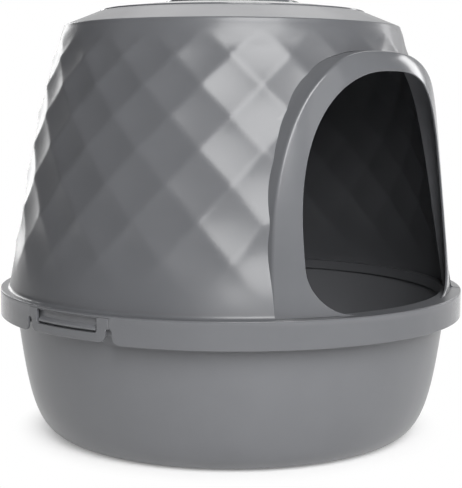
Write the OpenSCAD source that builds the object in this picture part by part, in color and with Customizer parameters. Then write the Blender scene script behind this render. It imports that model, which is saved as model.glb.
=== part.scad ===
// Round hooded litter box: a deep pan, a facetted hood with an arched doorway,
// a proud doorway surround, two snap loops and a vented lift-off lid with a bail handle.
// Millimetres. Z is up, the floor is z = 0, the axis of the round body is x = y = 0,
// and the doorway faces -Y.

/* [Body] */
// Outer radius of the skirt, the widest part of the box
skirt_r = 250; // [245:0.5:275]
// Gap between the skirt and the pan's rim, which lets the hood drop on
skirt_gap = 1.8; // [1.2:0.1:2.4]
// Width of the shelf from the hood wall's foot out to the skirt's face
shelf_out = 9.8; // [9:0.1:11]
// How far the surround's face lies inside the wall's foot
face_inset = 1.8; // [1:0.1:2.4]

/* [Pan] */
// How far the pan's foot lies inside its mouth
pan_taper = 54; // [46:1:66]
// Width of the ring that touches the floor
foot_ring_w = 10; // [6:1:16]
// Height of the pan's bottom plate above the floor
foot_ring_h = 2; // [1.5:0.5:4]
// Height of the pan's rim above the floor
pan_rim_z = 153.8; // [140:0.2:170]
// How far the pan's lower curve runs out level from the foot
pan_belly_out = 38; // [30:1:44]
// How far down the pan's upper wall runs straight before it curves in
pan_belly_up = 84; // [60:1:95]
// Outward lean of the pan's wall at its mouth, per millimetre of height
pan_lean = 0.14; // [0.08:0.01:0.18]
// Wall thickness of the pan
pan_wall = 3; // [2.4:0.1:3.6]
// Thickness of the pan's bottom plate
pan_floor_t = 3.2; // [2.6:0.1:4]
// How far the pan's turned-down rim stands out from its mouth
flange_out = 9.4; // [8.6:0.1:10]
// Thickness of the rim and of its turned-down lip
flange_t = 2.6; // [2:0.1:3]
// Depth of the turned-down lip
lip_h = 17; // [15:0.5:20]
// Number of gussets under the rim
gusset_count = 24; // [12:1:36]
// Thickness of one gusset
gusset_t = 2; // [1.5:0.1:3]
// Height of one gusset
gusset_h = 12; // [8:0.5:16]

/* [Hood skirt] */
// Wall thickness of the skirt
skirt_t = 2.8; // [2.4:0.1:3.2]
// Height of the skirt's lower edge above the floor
skirt_z = 129; // [124:0.5:132]
// Thickness of the shelf that rests on the pan's rim
shelf_t = 2.6; // [2.2:0.1:3]
// Rounding of the skirt's upper edge
skirt_edge_r = 1.6; // [0.8:0.1:2.2]
// Depth of the tongue that hangs inside the pan's mouth
tongue_h = 8; // [5:0.5:12]
// Thickness of the tongue
tongue_t = 2.4; // [1.8:0.1:3]

/* [Hood wall] */
// Height of the wall's top edge above the floor
wall_top_z = 432.6; // [425:0.1:436]
// How far the wall leans in over its height
wall_lean = 42; // [36:1:46]
// How much further the wall turns in towards its top
wall_turn = 18; // [14:1:24]
// Wall thickness of the hood
wall_t = 2.8; // [2.4:0.1:3.2]
// Number of diamonds round the hood
facet_cols = 22; // [18:1:26]
// Depth of each dished diamond
dish_depth = 3.6; // [2:0.1:4.5]
// Height above the floor of the uppermost diamond tips
facet_top_z = 425; // [420:1:428]
// Height of the topmost half row of diamonds
facet_step = 26.2; // [24:0.1:28]
// Growth of each half row over the one above it
facet_growth = 1.058; // [1.04:0.002:1.07]
// Turn of the diamond pattern from the doorway's centre line, in degrees
facet_turn = 1.8; // [0:0.1:8]
// Height below which the diamonds are gone
fade_low_z = 163; // [158:1:180]
// Height from which the diamonds have their full depth
fade_full_z = 230; // [220:1:260]
// Height up to which the diamonds have their full depth
fade_top_z = 402; // [390:1:410]

/* [Crown] */
// Rounding of the shoulder between wall and roof
shoulder_r = 2.4; // [1.5:0.1:4]
// Width of the ramp between the hood wall's top and the lid
ramp_w = 38.7; // [34:0.1:44]
// Height of the roof at the edge of the lid
roof_z = 449.3; // [446:0.1:452]
// Width of the ledge under the lid's edge
ledge_w = 9; // [6:0.5:12]
// Thickness of the ledge
ledge_t = 2.6; // [2:0.1:3.2]
// Gap between the lid's edge and the roof round it
lid_gap = 0.8; // [0.5:0.1:1.2]

/* [Doorway] */
// Half width of the opening
open_half_w = 117.2; // [105:0.1:120]
// Height of the opening's top above the floor
open_top_z = 385.4; // [370:0.1:388]
// Height at which the opening's arch starts
open_spring_z = 204; // [203:1:215]
// Squareness of the opening's arch, 2 for an ellipse
open_power = 2.66; // [2:0.02:3]
// Rounding of the opening's lower corners
open_corner_r = 45; // [30:1:46]
// Half width of the surround at the sill
surround_half_w = 146.4; // [142:0.2:152]
// How far each side of the surround leans in, per millimetre of height
surround_lean = 0.056; // [0.03:0.002:0.07]
// Height of the surround's top above the floor
surround_top_z = 405; // [401:0.5:408]
// Squareness of the surround's arch, 2 for an ellipse
surround_power = 3; // [2.4:0.1:3.2]
// Wall thickness of the surround
surround_t = 2.8; // [2.2:0.1:3.2]
// Inward lean of the face, per millimetre of height
face_lean = 0.1; // [0.09:0.0025:0.11]
// Height at which the face starts to round over
face_round_z = 372; // [364:1:376]
// Height over which the face rounds over
face_round_h = 40; // [38:1:46]
// Depth by which the face rounds over
face_round_r = 22; // [14:1:26]
// Length of one hook that holds the surround behind the wall
hook_l = 16; // [10:1:24]
// Height of the lower pair of hooks above the surround's foot
hook_low = 30; // [20:1:50]
// Height of the upper pair of hooks above the surround's foot
hook_high = 120; // [90:1:140]
// Distance of the two hooks in the arch from the centre line
hook_side = 60; // [40:1:70]
// How far a hook reaches behind the wall
hook_reach = 2.4; // [1.6:0.1:3]
// Thickness of a hook
hook_t = 2; // [1.5:0.1:3]

/* [Snap loops] */
// Angle of each loop from the doorway's centre line, in degrees
loop_angle = 87; // [75:1:105]
// Half width of a loop, measured to the middle of its notch
loop_half_w = 54.8; // [50:0.2:60]
// Height of a loop's lower edge above the skirt's
loop_lift = 4; // [2:0.5:5]
// Half width of the window in a loop
window_half_w = 41.5; // [36:0.5:44]
// Height of the rail under the window
rail_h = 7.8; // [6:0.2:9]
// Half width of the notch beside a loop
notch_half_w = 4.5; // [3.5:0.1:5]
// Height of the notch
notch_h = 15; // [12:0.5:17]
// Rounding of a loop's lower corners
loop_corner_r = 6.4; // [4:0.2:6.6]
// Rounding of the skirt beside the notch
notch_flare_r = 4; // [2:0.5:5]
// How far the catch stands out of the pan's rim
catch_out = 3.4; // [2.6:0.1:3.6]
// Height of the catch
catch_h = 9.6; // [8:0.2:11]
// Height of the catch's upright face
catch_face_h = 2.4; // [1.5:0.1:4]
// Gap between the catch and the loop's rail
catch_gap = 0.5; // [0.3:0.1:0.8]

/* [Lid] */
// Radius of the raised crown of the lid
crown_r = 72; // [70:0.5:80]
// Height of the raised crown's top above the floor
crown_z = 461.5; // [460:0.1:464]
// Height of the lid's dome at the foot of the crown
dome_z = 457.8; // [455:0.1:458]
// Thickness of the lid
lid_t = 2.5; // [2:0.1:3]
// Thickness of the lid's edge
lid_edge_t = 2.8; // [2.2:0.1:3]
// Radius of the handle's well in the crown
well_r = 60; // [58:0.5:61]
// Depth of the handle's well
well_h = 11.5; // [11:0.1:13]
// Depth of the ring that centres the lid
spigot_h = 6.5; // [4:0.5:8]
// Thickness of that ring
spigot_t = 2.4; // [1.8:0.1:3]
// Number of vent slots in the well's floor
vent_count = 9; // [5:2:11]
// Width of one vent slot
vent_w = 3.4; // [2.4:0.1:3.8]
// Distance from slot to slot
vent_pitch = 8; // [7:0.5:8.5]
// Radius of the field that the vent slots fill
vent_field_r = 42; // [34:1:43]

/* [Handle] */
// Outer radius of the bail's bow
bow_r = 55; // [52:0.5:56]
// Width of the bow
bow_w = 10; // [8:0.5:12]
// Thickness of the bow
bow_t = 8; // [6:0.5:8]
// Rounding of the bow's edges
bow_edge_r = 2.4; // [1:0.2:2.8]
// Radius of the pivot pins
pin_r = 3; // [2.5:0.1:3.4]
// Radial clearance of the pins in their holes
pin_clear = 0.05; // [0.02:0.01:0.1]
// How far a pin runs into its hole
pin_l = 7.5; // [6:0.5:8]
// Gap under the folded bow
bow_gap = 1.7; // [1.2:0.1:2.2]

/* [Filter] */
// Outer radius of the filter tray
tray_r = 62; // [60:0.5:62.5]
// Wall thickness of the tray
tray_t = 2.2; // [1.8:0.1:2.8]
// Height of the tray
tray_h = 13.6; // [12:0.2:15]
// Thickness of the charcoal filter
filter_t = 9.5; // [8:0.5:10]
// Gap between the filter and the tray's wall
filter_gap = 0.5; // [0.3:0.1:1]
// Thickness of the collar that holds the tray
collar_t = 2.4; // [2:0.1:3]
// Radial gap between tray and collar
collar_gap = 1.8; // [1.6:0.1:2.2]
// Number of bayonet lugs
lug_count = 3; // [2:1:4]
// Angle that one lug takes, in degrees
lug_angle = 18; // [12:1:24]
// Angle that one ledge of the collar takes, in degrees
collar_ledge_angle = 34; // [30:1:38]
// Height of one lug
lug_h = 2.2; // [1.8:0.1:3]
// Height of the grip bar under the tray
grip_h = 9; // [6:0.5:12]
// Thickness of the grip bar
grip_t = 4; // [3:0.5:6]

/* [Hidden] */

// Gap between pieces that rest on each other
seat_gap = 0.3;
// Gap between the surround and the wall's cut-out
cutout_gap = 0.3;
// Overlap that joins two shapes of one piece
sink = 1;
// How far foot and crown lap over the hood wall's skins
lap = 0.3;
// Depth of the flat that the surround stands on, cut into the shelf
sill_cut = 0.2;
// How far in from the skirt's face the loops' outlines are cut
loop_reach = 14;
// Reach of cutting tools past a surface
past = 20;
round_fn = 180;
arc_steps = 10;
arch_steps = 22;
curve_steps = 16;
// Points in each quarter of a diamond's side
facet_sub = 4;

flange_r = skirt_r - skirt_t - skirt_gap;
pan_mouth_r = flange_r - flange_out;
foot_r = pan_mouth_r - pan_taper;
wall_foot_r = skirt_r - shelf_out;
face_foot_r = wall_foot_r - face_inset;
shelf_z = pan_rim_z + seat_gap;
shelf_top_z = shelf_z + shelf_t;
wall_foot_z = shelf_top_z + 3;
pan_mouth_in_r = pan_mouth_r - pan_wall;
tongue_r = pan_mouth_in_r - pan_lean * tongue_h - 0.6;
loop_z = skirt_z + loop_lift;
window_z = loop_z + rail_h;
catch_z = window_z + catch_gap;
wall_top_r = wall_foot_r - wall_lean - wall_turn;
lid_r = wall_top_r - ramp_w;
lid_seat_r = lid_r + lid_gap;
lid_seat_z = roof_z - lid_edge_t - seat_gap;
well_z = crown_z - well_h;
pivot_z = well_z + bow_gap + bow_t / 2;
collar_r = tray_r + collar_gap;
collar_in_gap = 0.35;
tray_top_z = well_z - lid_t - seat_gap;
tray_z = tray_top_z - tray_h;
lug_z = tray_z + 3.4;
filter_r = tray_r - tray_t - filter_gap;
filter_z = tray_z + tray_t + seat_gap;

// Points of an arc, from angle a to angle b
function arc(cx, cy, r, a, b, n = arc_steps) =
    [for (i = [0:n]) let (t = a + (b - a) * i / n) [cx + r * cos(t), cy + r * sin(t)]];
// A list of points, last one first
function flip(p) = [for (i = [len(p) - 1:-1:0]) p[i]];
// A list of points, mirrored from right to left
function across(p) = [for (q = flip(p)) [-q[0], q[1]]];
// Points of a rectangle with round corners
function round_rect(x0, y0, x1, y1, r) = concat(
    arc(x1 - r, y1 - r, r, 0, 90, 4), arc(x0 + r, y1 - r, r, 90, 180, 4),
    arc(x0 + r, y0 + r, r, 180, 270, 4), arc(x1 - r, y0 + r, r, 270, 360, 4));
// Smooth step from 0 at a to 1 at b
function ease(a, b, x) = let (t = min(1, max(0, (x - a) / (b - a)))) t * t * (3 - 2 * t);

// Outer line of the pan's wall, from the foot to the rim, moved in by "inset"
function pan_point(t) = let (u = 1 - t) [
    u * u * u * foot_r + 3 * u * u * t * (foot_r + pan_belly_out)
        + 3 * u * t * t * (pan_mouth_r - pan_lean * pan_belly_up) + t * t * t * pan_mouth_r,
    3 * u * t * t * (pan_rim_z - pan_belly_up) + t * t * t * pan_rim_z];
function pan_line(inset) = [for (i = [0:curve_steps])
    let (t = i / curve_steps, a = pan_point(max(0, t - 0.01)), b = pan_point(min(1, t + 0.01)),
        d = b - a, n = [-d[1], d[0]] / norm(d))
    pan_point(t) + n * inset];

// Radius of the hood wall's outer face, before the diamonds are dished
function wall_r(z) = let (h = (z - wall_foot_z) / (wall_top_z - wall_foot_z))
    wall_foot_r - wall_lean * h - wall_turn * pow(max(h, 0), 4);
// Radius of the surround's face
function face_r(z) = let (u = min(1, max(0, (z - face_round_z) / face_round_h)))
    face_foot_r - face_lean * (z - wall_foot_z) - face_round_r * (1 - sqrt(1 - u * u));
// Height of the v-th half row of diamonds
function row_z(v) = facet_top_z - facet_step * (pow(facet_growth, v) - 1) / (facet_growth - 1);
// Depth of the dish at column u and half row v: nothing at the tips, most in the middle
function dish(u, v, z) =
    let (a = u + (v - 1) / 2, b = u - (v - 1) / 2,
        p = a - floor(a) - 0.5, q = b - floor(b) - 0.5)
    dish_depth * (1 - 2 * (p * p + q * q)) * ease(fade_low_z, fade_full_z, z)
        * (1 - ease(fade_top_z, facet_top_z + 4, z));

// Right-hand half of an arch, from its springing to its top
function arch_half(w, spring, top, power) =
    [for (i = [0:arch_steps]) let (a = 90 * i / arch_steps)
        [w * pow(cos(a), 2 / power), spring + (top - spring) * pow(sin(a), 2 / power)]];
// Outline of the surround, grown by "grow", standing on height "foot"
function surround_line(grow, foot) =
    let (spring = shelf_top_z + 4,
        arch = arch_half(1, spring, surround_top_z + grow, surround_power),
        half = concat([[surround_half_w + grow, foot]], [for (q = arch)
            [q[0] * (surround_half_w - surround_lean * (q[1] - spring) + grow), q[1]]]))
    concat(half, across([for (i = [0:len(half) - 2]) half[i]]));
// Outline of the opening
function opening_line() =
    let (c = open_half_w - open_corner_r, half = concat(
        arc(c, shelf_top_z + open_corner_r, open_corner_r, -90, 0),
        arch_half(open_half_w, open_spring_z, open_top_z, open_power)))
    concat(half, across([for (i = [0:len(half) - 2]) half[i]]));

// Runs a front-view outline back through the body's front half
module from_front() rotate([90, 0, 0]) linear_extrude(skirt_r + past) children();
// Runs a side-view outline out along +X, from radius r
module outward(r) translate([r, 0, 0]) rotate([90, 0, 90]) linear_extrude(past) children();
// Solid of revolution between an outer and an inner line
module turned(outer, inner) rotate_extrude($fn = round_fn) polygon(concat(outer, flip(inner)));
// Puts a side piece at each loop's place: side is -1 for left, 1 for right
module at_loop(side) rotate([0, 0, side * loop_angle - 90]) children();

// Pan with its rim, gussets and catches
module litter_pan() color([0.44, 0.45, 0.47]) {
    outer = pan_line(0);
    inner = pan_line(pan_wall);
    under = pan_rim_z - flange_t;
    last = len(outer) - 1;
    floor_top = foot_ring_h + pan_floor_t;
    rotate_extrude($fn = round_fn) polygon(concat(
        [[0, foot_ring_h], [foot_r - foot_ring_w - foot_ring_h, foot_ring_h], [foot_r - foot_ring_w, 0]],
        [for (i = [0:last - 1]) if (outer[i][1] < under - 0.5) outer[i]],
        [[pan_mouth_r - pan_lean * flange_t, under], [flange_r - flange_t, under],
            [flange_r - flange_t, pan_rim_z - lip_h], [flange_r, pan_rim_z - lip_h]],
        arc(flange_r - 1.2, pan_rim_z - 1.2, 1.2, 0, 90, 4),
        [[pan_mouth_in_r, pan_rim_z]],
        [for (i = [last - 1:-1:0]) if (inner[i][1] > floor_top + 0.5) inner[i]],
        [[foot_r + pan_wall, floor_top], [0, floor_top]]));
    for (i = [0:gusset_count - 1])
        rotate([0, 0, (i + 0.5) * 360 / gusset_count])
            translate([pan_mouth_r - pan_lean * gusset_h - sink, -gusset_t / 2, under - gusset_h])
                cube([flange_r - flange_t / 2 - pan_mouth_r + pan_lean * gusset_h + sink,
                    gusset_t, gusset_h + sink / 2]);
    half = asin((window_half_w - 2) / (flange_r + catch_out));
    for (side = [-1, 1])
        at_loop(side) rotate([0, 0, -half])
            rotate_extrude(angle = 2 * half, $fn = round_fn) polygon([
                [flange_r - flange_t / 2, catch_z],
                [flange_r + catch_out, catch_z],
                [flange_r + catch_out, catch_z + catch_face_h],
                [flange_r - flange_t / 2, catch_z + catch_h]]);
}

// Dished wall of the hood: two skins of points, row by row, closed at top and foot
module facet_wall() {
    n = facet_cols * facet_sub;
    v_last = floor(2 * (ln(1 + (facet_top_z - wall_foot_z - 2) * (facet_growth - 1) / facet_step)
        / ln(facet_growth)));
    rows = concat([wall_top_z], [for (j = [0:v_last]) row_z(j / 2)], [shelf_top_z - shelf_t / 2]);
    m = len(rows);
    skin = function (inset) [for (j = [0:m - 1]) for (i = [0:n - 1])
        let (z = rows[j], r = wall_r(z) - inset - dish(i / facet_sub, (j - 1) / 2, z), a = 360 * i / n)
        [r * sin(a), -r * cos(a), z]];
    at = function (k, i, j) k * n * m + j * n + i % n;
    quad = function (a, b, c, d, slant) slant ? [[a, b, d], [b, c, d]] : [[a, b, c], [a, c, d]];
    sides = [for (k = [0, 1]) for (j = [0:m - 2]) for (i = [0:n - 1])
        let (p = at(k, i, j), q = at(k, i + 1, j), r = at(k, i + 1, j + 1), s = at(k, i, j + 1),
            slant = (i + j) % 2 == 0)
        each (k == 0 ? quad(p, q, r, s, slant) : [for (t = quad(p, q, r, s, slant)) flip(t)])];
    caps = [for (i = [0:n - 1]) each [
        [at(0, i + 1, 0), at(0, i, 0), at(1, i, 0)], [at(0, i + 1, 0), at(1, i, 0), at(1, i + 1, 0)],
        [at(0, i, m - 1), at(0, i + 1, m - 1), at(1, i + 1, m - 1)],
        [at(0, i, m - 1), at(1, i + 1, m - 1), at(1, i, m - 1)]]];
    rotate([0, 0, facet_turn]) polyhedron(concat(skin(0), skin(wall_t)), concat(sides, caps), convexity = 8);
}

// Skirt, shelf and tongue at the foot of the hood
module hood_foot() rotate_extrude($fn = round_fn) polygon(concat(
    [[skirt_r - skirt_t, skirt_z], [skirt_r, skirt_z]],
    arc(skirt_r - skirt_edge_r, shelf_top_z - skirt_edge_r, skirt_edge_r, 0, 90, 4),
    [[wall_foot_r + 3.4, shelf_top_z], [wall_foot_r + 1.7, shelf_top_z + 0.7],
        [wall_foot_r + 0.8, shelf_top_z + 2], [wall_foot_r + lap, shelf_top_z + 3.4],
        [wall_foot_r - wall_t / 2, shelf_top_z + 3.4], [wall_foot_r - wall_t / 2, shelf_top_z],
        [tongue_r - tongue_t, shelf_top_z], [tongue_r - tongue_t, pan_rim_z - tongue_h],
        [tongue_r, pan_rim_z - tongue_h], [tongue_r, shelf_z], [skirt_r - skirt_t, shelf_z]]));

// Shoulder, roof ramp and the ledge that carries the lid
module hood_crown() {
    c = wall_top_r + lap - shoulder_r;
    low = wall_top_z - 3;
    tilt = 72;
    rotate_extrude($fn = round_fn) polygon(concat(
        [[wall_r(low) + lap, low]],
        arc(c, wall_top_z, shoulder_r, 0, tilt, 6),
        [[lid_seat_r + 0.6, roof_z], [lid_seat_r, roof_z - 0.6], [lid_seat_r, lid_seat_z],
            [lid_seat_r - ledge_w, lid_seat_z], [lid_seat_r - ledge_w, lid_seat_z - ledge_t],
            [lid_seat_r + 1, lid_seat_z - ledge_t]],
        [[c - wall_t, wall_top_z + shoulder_r - wall_t], [wall_top_r - wall_t - lap, wall_top_z - 0.5],
            [wall_top_r - wall_t - lap, low]]));
}

// Hood: dished wall, skirt and crown, with the doorway and the loops' places cut out
module hood_shell() color([0.46, 0.47, 0.49]) difference() {
    union() {
        facet_wall();
        hood_foot();
        hood_crown();
    }
    from_front() polygon(surround_line(cutout_gap, shelf_top_z - sill_cut));
    for (side = [-1, 1]) at_loop(side) outward(skirt_r - loop_reach) loop_place();
}

// Everything that is cut from the skirt for one loop
module loop_place() {
    top = shelf_z + seat_gap;
    side = concat(arc(loop_half_w, skirt_z + notch_h - notch_half_w, notch_half_w, 90, 0),
        flip(arc(loop_half_w + notch_half_w + notch_flare_r, skirt_z + notch_flare_r, notch_flare_r, 270, 180)),
        [[loop_half_w + notch_half_w + notch_flare_r, skirt_z - sink]]);
    polygon(concat([[loop_half_w, top]], side, across(side), [[-loop_half_w, top]]));
}

// One snap loop, hanging from the shelf round its window
module snap_loop(side) color([0.43, 0.44, 0.46]) at_loop(side) intersection() {
    turned([[skirt_r, skirt_z], [skirt_r, shelf_z]], [[skirt_r - skirt_t, skirt_z], [skirt_r - skirt_t, shelf_z]]);
    outward(skirt_r - loop_reach) difference() {
        edge = loop_half_w - seat_gap;
        corner = edge - notch_half_w - loop_corner_r;
        half = concat(arc(corner, loop_z + loop_corner_r, loop_corner_r, -90, 0),
            arc(edge, skirt_z + notch_h - notch_half_w, notch_half_w, 180, 90),
            [[edge, shelf_z]]);
        polygon(concat(half, across(half)));
        hole = concat(arc(window_half_w - 3, window_z + 3, 3, -90, 0, 5), [[window_half_w, shelf_z + sink]]);
        polygon(concat(hole, across(hole)));
    }
}

// Surround: a thin face round the opening and a side wall that passes through the hood wall
module entry_surround() color([0.45, 0.46, 0.48]) {
    foot = shelf_top_z - sill_cut + seat_gap;
    top = face_round_z + face_round_h - 1;
    heights = concat([foot], [for (z = [foot + 20:20:face_round_z - 8]) z],
        [for (i = [0:curve_steps]) face_round_z + (top - face_round_z) * sin(90 * i / curve_steps)]);
    back = wall_t + dish_depth + seat_gap + hook_t;
    intersection() {
        turned([for (z = heights) [face_r(z), z]], [for (z = heights) [face_r(z) - surround_t, z]]);
        from_front() difference() {
            polygon(surround_line(0, foot));
            polygon(opening_line());
        }
    }
    intersection() {
        turned([for (z = heights) [face_r(z), z]], [for (z = heights) [wall_r(z) - back, z]]);
        from_front() difference() {
            polygon(surround_line(0, foot));
            polygon(surround_line(-surround_t, foot - sink));
        }
    }
    intersection() {
        turned([for (z = heights) [wall_r(z) - back + hook_t, z]], [for (z = heights) [wall_r(z) - back, z]]);
        from_front() intersection() {
            difference() {
                polygon(surround_line(hook_reach, foot));
                polygon(surround_line(-surround_t / 2, foot - sink));
            }
            union() {
                for (z = [foot + hook_low, foot + hook_high])
                    translate([-skirt_r, z]) square([2 * skirt_r, hook_l]);
                for (x = [-1, 1])
                    translate([x * hook_side - hook_l / 2, surround_top_z - past]) square([hook_l, 2 * past]);
            }
        }
    }
}

// Lift-off lid: edge, dome and crown, with the handle's well, the vents and the tray's collar
module roof_lid() color([0.50, 0.51, 0.53]) difference() {
    spigot_r = lid_seat_r - ledge_w - 0.4;
    dome = [for (i = [0:8]) let (r = lid_r - 1.5 - (lid_r - 1.5 - crown_r - 0.8) * i / 8)
        [r, roof_z + 0.2 + (dome_z - roof_z) * (1 - pow((r - crown_r) / (lid_r - crown_r), 1.5))]];
    union() {
        rotate_extrude($fn = round_fn) polygon(concat(
            [[lid_r, roof_z - lid_edge_t], [lid_r, roof_z - 1]], dome,
            [[crown_r, crown_z - 1.2], [crown_r - 0.4, crown_z - 0.4], [crown_r - 1.2, crown_z],
                [well_r + 0.6, crown_z], [well_r, crown_z - 0.6], [well_r, well_z], [0, well_z],
                [0, well_z - lid_t], [well_r + lid_t, well_z - lid_t], [well_r + lid_t, crown_z - lid_t],
                [crown_r - lid_t, crown_z - lid_t]],
            [for (p = flip(dome)) if (p[0] < spigot_r - spigot_t && p[0] > crown_r) p - [0, lid_t]],
            [[spigot_r - spigot_t, roof_z - lid_edge_t + 2.4],
                [spigot_r - spigot_t, lid_seat_z - spigot_h], [spigot_r, lid_seat_z - spigot_h],
                [spigot_r, roof_z - lid_edge_t]]));
        turned([[collar_r + collar_t, tray_z], [collar_r + collar_t, crown_z - lid_t + sink]],
            [[collar_r, tray_z], [collar_r, crown_z - lid_t + sink]]);
        for (i = [0:lug_count - 1]) rotate([0, 0, (i + 0.5) * 360 / lug_count - collar_ledge_angle / 2])
            rotate_extrude(angle = collar_ledge_angle, $fn = round_fn)
                translate([tray_r + collar_in_gap, tray_z])
                    square([collar_gap - collar_in_gap + sink, lug_z - tray_z - seat_gap]);
        intersection() {
            turned([[collar_r + sink, well_z - lid_t], [collar_r + sink, crown_z - sink]],
                [[well_r, well_z - lid_t], [well_r, crown_z - sink]]);
            translate([-crown_r, -pin_r - 3, well_z - lid_t]) cube([2 * crown_r, 2 * (pin_r + 3), well_h]);
        }
    }
    for (x = [-1, 1]) translate([x * (well_r - sink), 0, pivot_z]) rotate([0, x * 90, 0])
        cylinder(r = pin_r + pin_clear, h = pin_l + sink, $fn = 48);
    for (i = [0:vent_count - 1]) {
        y = (i - (vent_count - 1) / 2) * vent_pitch;
        half = sqrt(vent_field_r * vent_field_r - y * y);
        for (x = [-1, 1]) translate([x > 0 ? 3 : 3 - half - 3, y - vent_w / 2, well_z - lid_t - sink])
            cube([half - 3, vent_w, lid_t + 2 * sink]);
    }
}

// Bail handle: half a ring between two eyes with pivot pins
module lid_handle() color([0.40, 0.41, 0.43]) translate([0, 0, pivot_z]) {
    rotate_extrude(angle = 180, $fn = round_fn)
        polygon(round_rect(bow_r - bow_w, -bow_t / 2, bow_r, bow_t / 2, bow_edge_r));
    for (x = [-1, 1]) {
        translate([x * (bow_r - bow_w), 0, 0]) rotate([0, x * 90, 0])
            cylinder(r = bow_t / 2 + 0.4, h = bow_w + 1.5, $fn = 48);
        translate([x * bow_r, 0, 0]) rotate([0, x * 90, 0])
            cylinder(r = pin_r, h = well_r - bow_r + pin_l - 1, $fn = 48);
    }
}

// Filter tray: a shallow cup with a slotted floor, bayonet lugs and a grip bar
module filter_tray() color([0.36, 0.37, 0.39]) {
    difference() {
        turned([[tray_r, tray_z], [tray_r, tray_top_z]], [[0, tray_z], [0, tray_top_z]]);
        translate([0, 0, tray_z + tray_t]) cylinder(r = tray_r - tray_t, h = tray_h, $fn = round_fn);
        for (i = [0:vent_count - 1]) {
            y = (i - (vent_count - 1) / 2) * vent_pitch;
            half = sqrt(vent_field_r * vent_field_r - y * y);
            if (abs(y) > grip_t)
                translate([-half, y - vent_w / 2, tray_z - sink]) cube([2 * half, vent_w, tray_t + 2 * sink]);
        }
    }
    for (i = [0:lug_count - 1]) rotate([0, 0, (i + 0.5) * 360 / lug_count - lug_angle / 2])
        rotate_extrude(angle = lug_angle, $fn = round_fn)
            translate([tray_r - tray_t / 2, lug_z]) square([collar_gap + tray_t / 2 - collar_in_gap, lug_h]);
    translate([-tray_r * 0.7, -grip_t / 2, tray_z - grip_h]) cube([tray_r * 1.4, grip_t, grip_h + sink]);
}

// Round charcoal filter
module charcoal_filter() color([0.10, 0.10, 0.11])
    rotate_extrude($fn = round_fn) polygon(concat([[0, filter_z]],
        [[filter_r - 1, filter_z], [filter_r, filter_z + 1], [filter_r, filter_z + filter_t - 1],
            [filter_r - 1, filter_z + filter_t]], [[0, filter_z + filter_t]]));

litter_pan();
hood_shell();
entry_surround();
snap_loop(-1);  // left_snap_loop
snap_loop(1);  // right_snap_loop
roof_lid();
lid_handle();
filter_tray();
charcoal_filter();
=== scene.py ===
"""Round hooded litter box in grey moulded plastic, dressed for a studio picture.

Sizes are in millimetres in the part's frame: Z is up from the floor, the axis of the round body is
x = y = 0 and the doorway faces -Y. Angles round the body are in degrees, from the doorway's centre
line to the right. Meshes are written in metres.
"""
import logging
import math
from collections.abc import Callable, Iterable, Sequence
from dataclasses import dataclass, field
from enum import Enum

import bmesh
import bpy
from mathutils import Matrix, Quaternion, Vector
from mathutils.geometry import tessellate_polygon

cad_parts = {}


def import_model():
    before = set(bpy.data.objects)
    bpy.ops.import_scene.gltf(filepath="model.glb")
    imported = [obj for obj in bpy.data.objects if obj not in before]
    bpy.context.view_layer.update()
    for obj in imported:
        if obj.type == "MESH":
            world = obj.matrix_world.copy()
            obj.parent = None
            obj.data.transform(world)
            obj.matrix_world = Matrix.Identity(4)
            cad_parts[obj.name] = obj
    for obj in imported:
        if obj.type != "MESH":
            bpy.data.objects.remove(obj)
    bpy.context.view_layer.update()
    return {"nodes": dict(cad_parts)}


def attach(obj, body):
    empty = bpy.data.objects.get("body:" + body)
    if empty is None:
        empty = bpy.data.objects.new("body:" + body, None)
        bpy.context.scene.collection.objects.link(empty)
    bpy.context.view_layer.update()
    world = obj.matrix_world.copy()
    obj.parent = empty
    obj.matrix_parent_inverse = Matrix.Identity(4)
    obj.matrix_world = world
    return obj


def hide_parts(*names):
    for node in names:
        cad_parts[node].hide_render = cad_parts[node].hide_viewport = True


LOG = logging.getLogger("litter_box")
MM = 0.001
PER_METRE = 1000.0
FULL_TURN = 360.0
# Lengths and gaps in millimetres that count as none
NO_LENGTH = 1e-9
NO_GAP = 1e-6
# Half the angle of a corner, in radians, from which the corner counts as straight
NEARLY_STRAIGHT = 1.55
# Points nearer to each other than this are welded: in a mesh in metres, in a plate in millimetres
WELD = 2e-6
PLATE_WELD = 1e-3
# Points of a plate nearer than this to a cut, in millimetres, are taken as lying on it
CUT_SNAP = 1e-4
# How far large faces outweigh small ones in the shading, out of 100
FACE_WEIGHT = 80
# Sockets of the Mix node, which have one name for several kinds of value
MIX_FACTOR = 0
MIX_NUMBERS = (2, 3)
MIX_COLOURS = (6, 7)
MIX_COLOUR_OUT = 2
# Range that the values of a noise pattern mostly lie in
NOISE_LOW = 0.3
NOISE_HIGH = 0.7
# Gap between the surround and the hood's wall, in millimetres
SURROUND_GAP = 0.3

Point = tuple[float, float]
Spot = tuple[float, float, float]
Corner = tuple[float, float, float]


# Drawing helpers

def ease(low: float, high: float, value: float) -> float:
    """Smooth step.

    Args:
        low: Value at which the step is 0.
        high: Value at which the step is 1.
        value: Value to look up.

    Returns:
        A number from 0 to 1.
    """
    part = min(1.0, max(0.0, (value - low) / (high - low)))
    return part * part * (3.0 - 2.0 * part)


def arc(centre: Point, radius: float, start: float, end: float, steps: int) -> list[Point]:
    """Points of an arc in a drawing plane.

    Args:
        centre: Centre of the arc.
        radius: Its radius.
        start: First angle in degrees.
        end: Last angle in degrees.
        steps: Number of pieces.

    Returns:
        The points, both ends included.
    """
    angles = [math.radians(start + (end - start) * i / steps) for i in range(steps + 1)]
    return [(centre[0] + radius * math.cos(a), centre[1] + radius * math.sin(a)) for a in angles]


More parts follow.
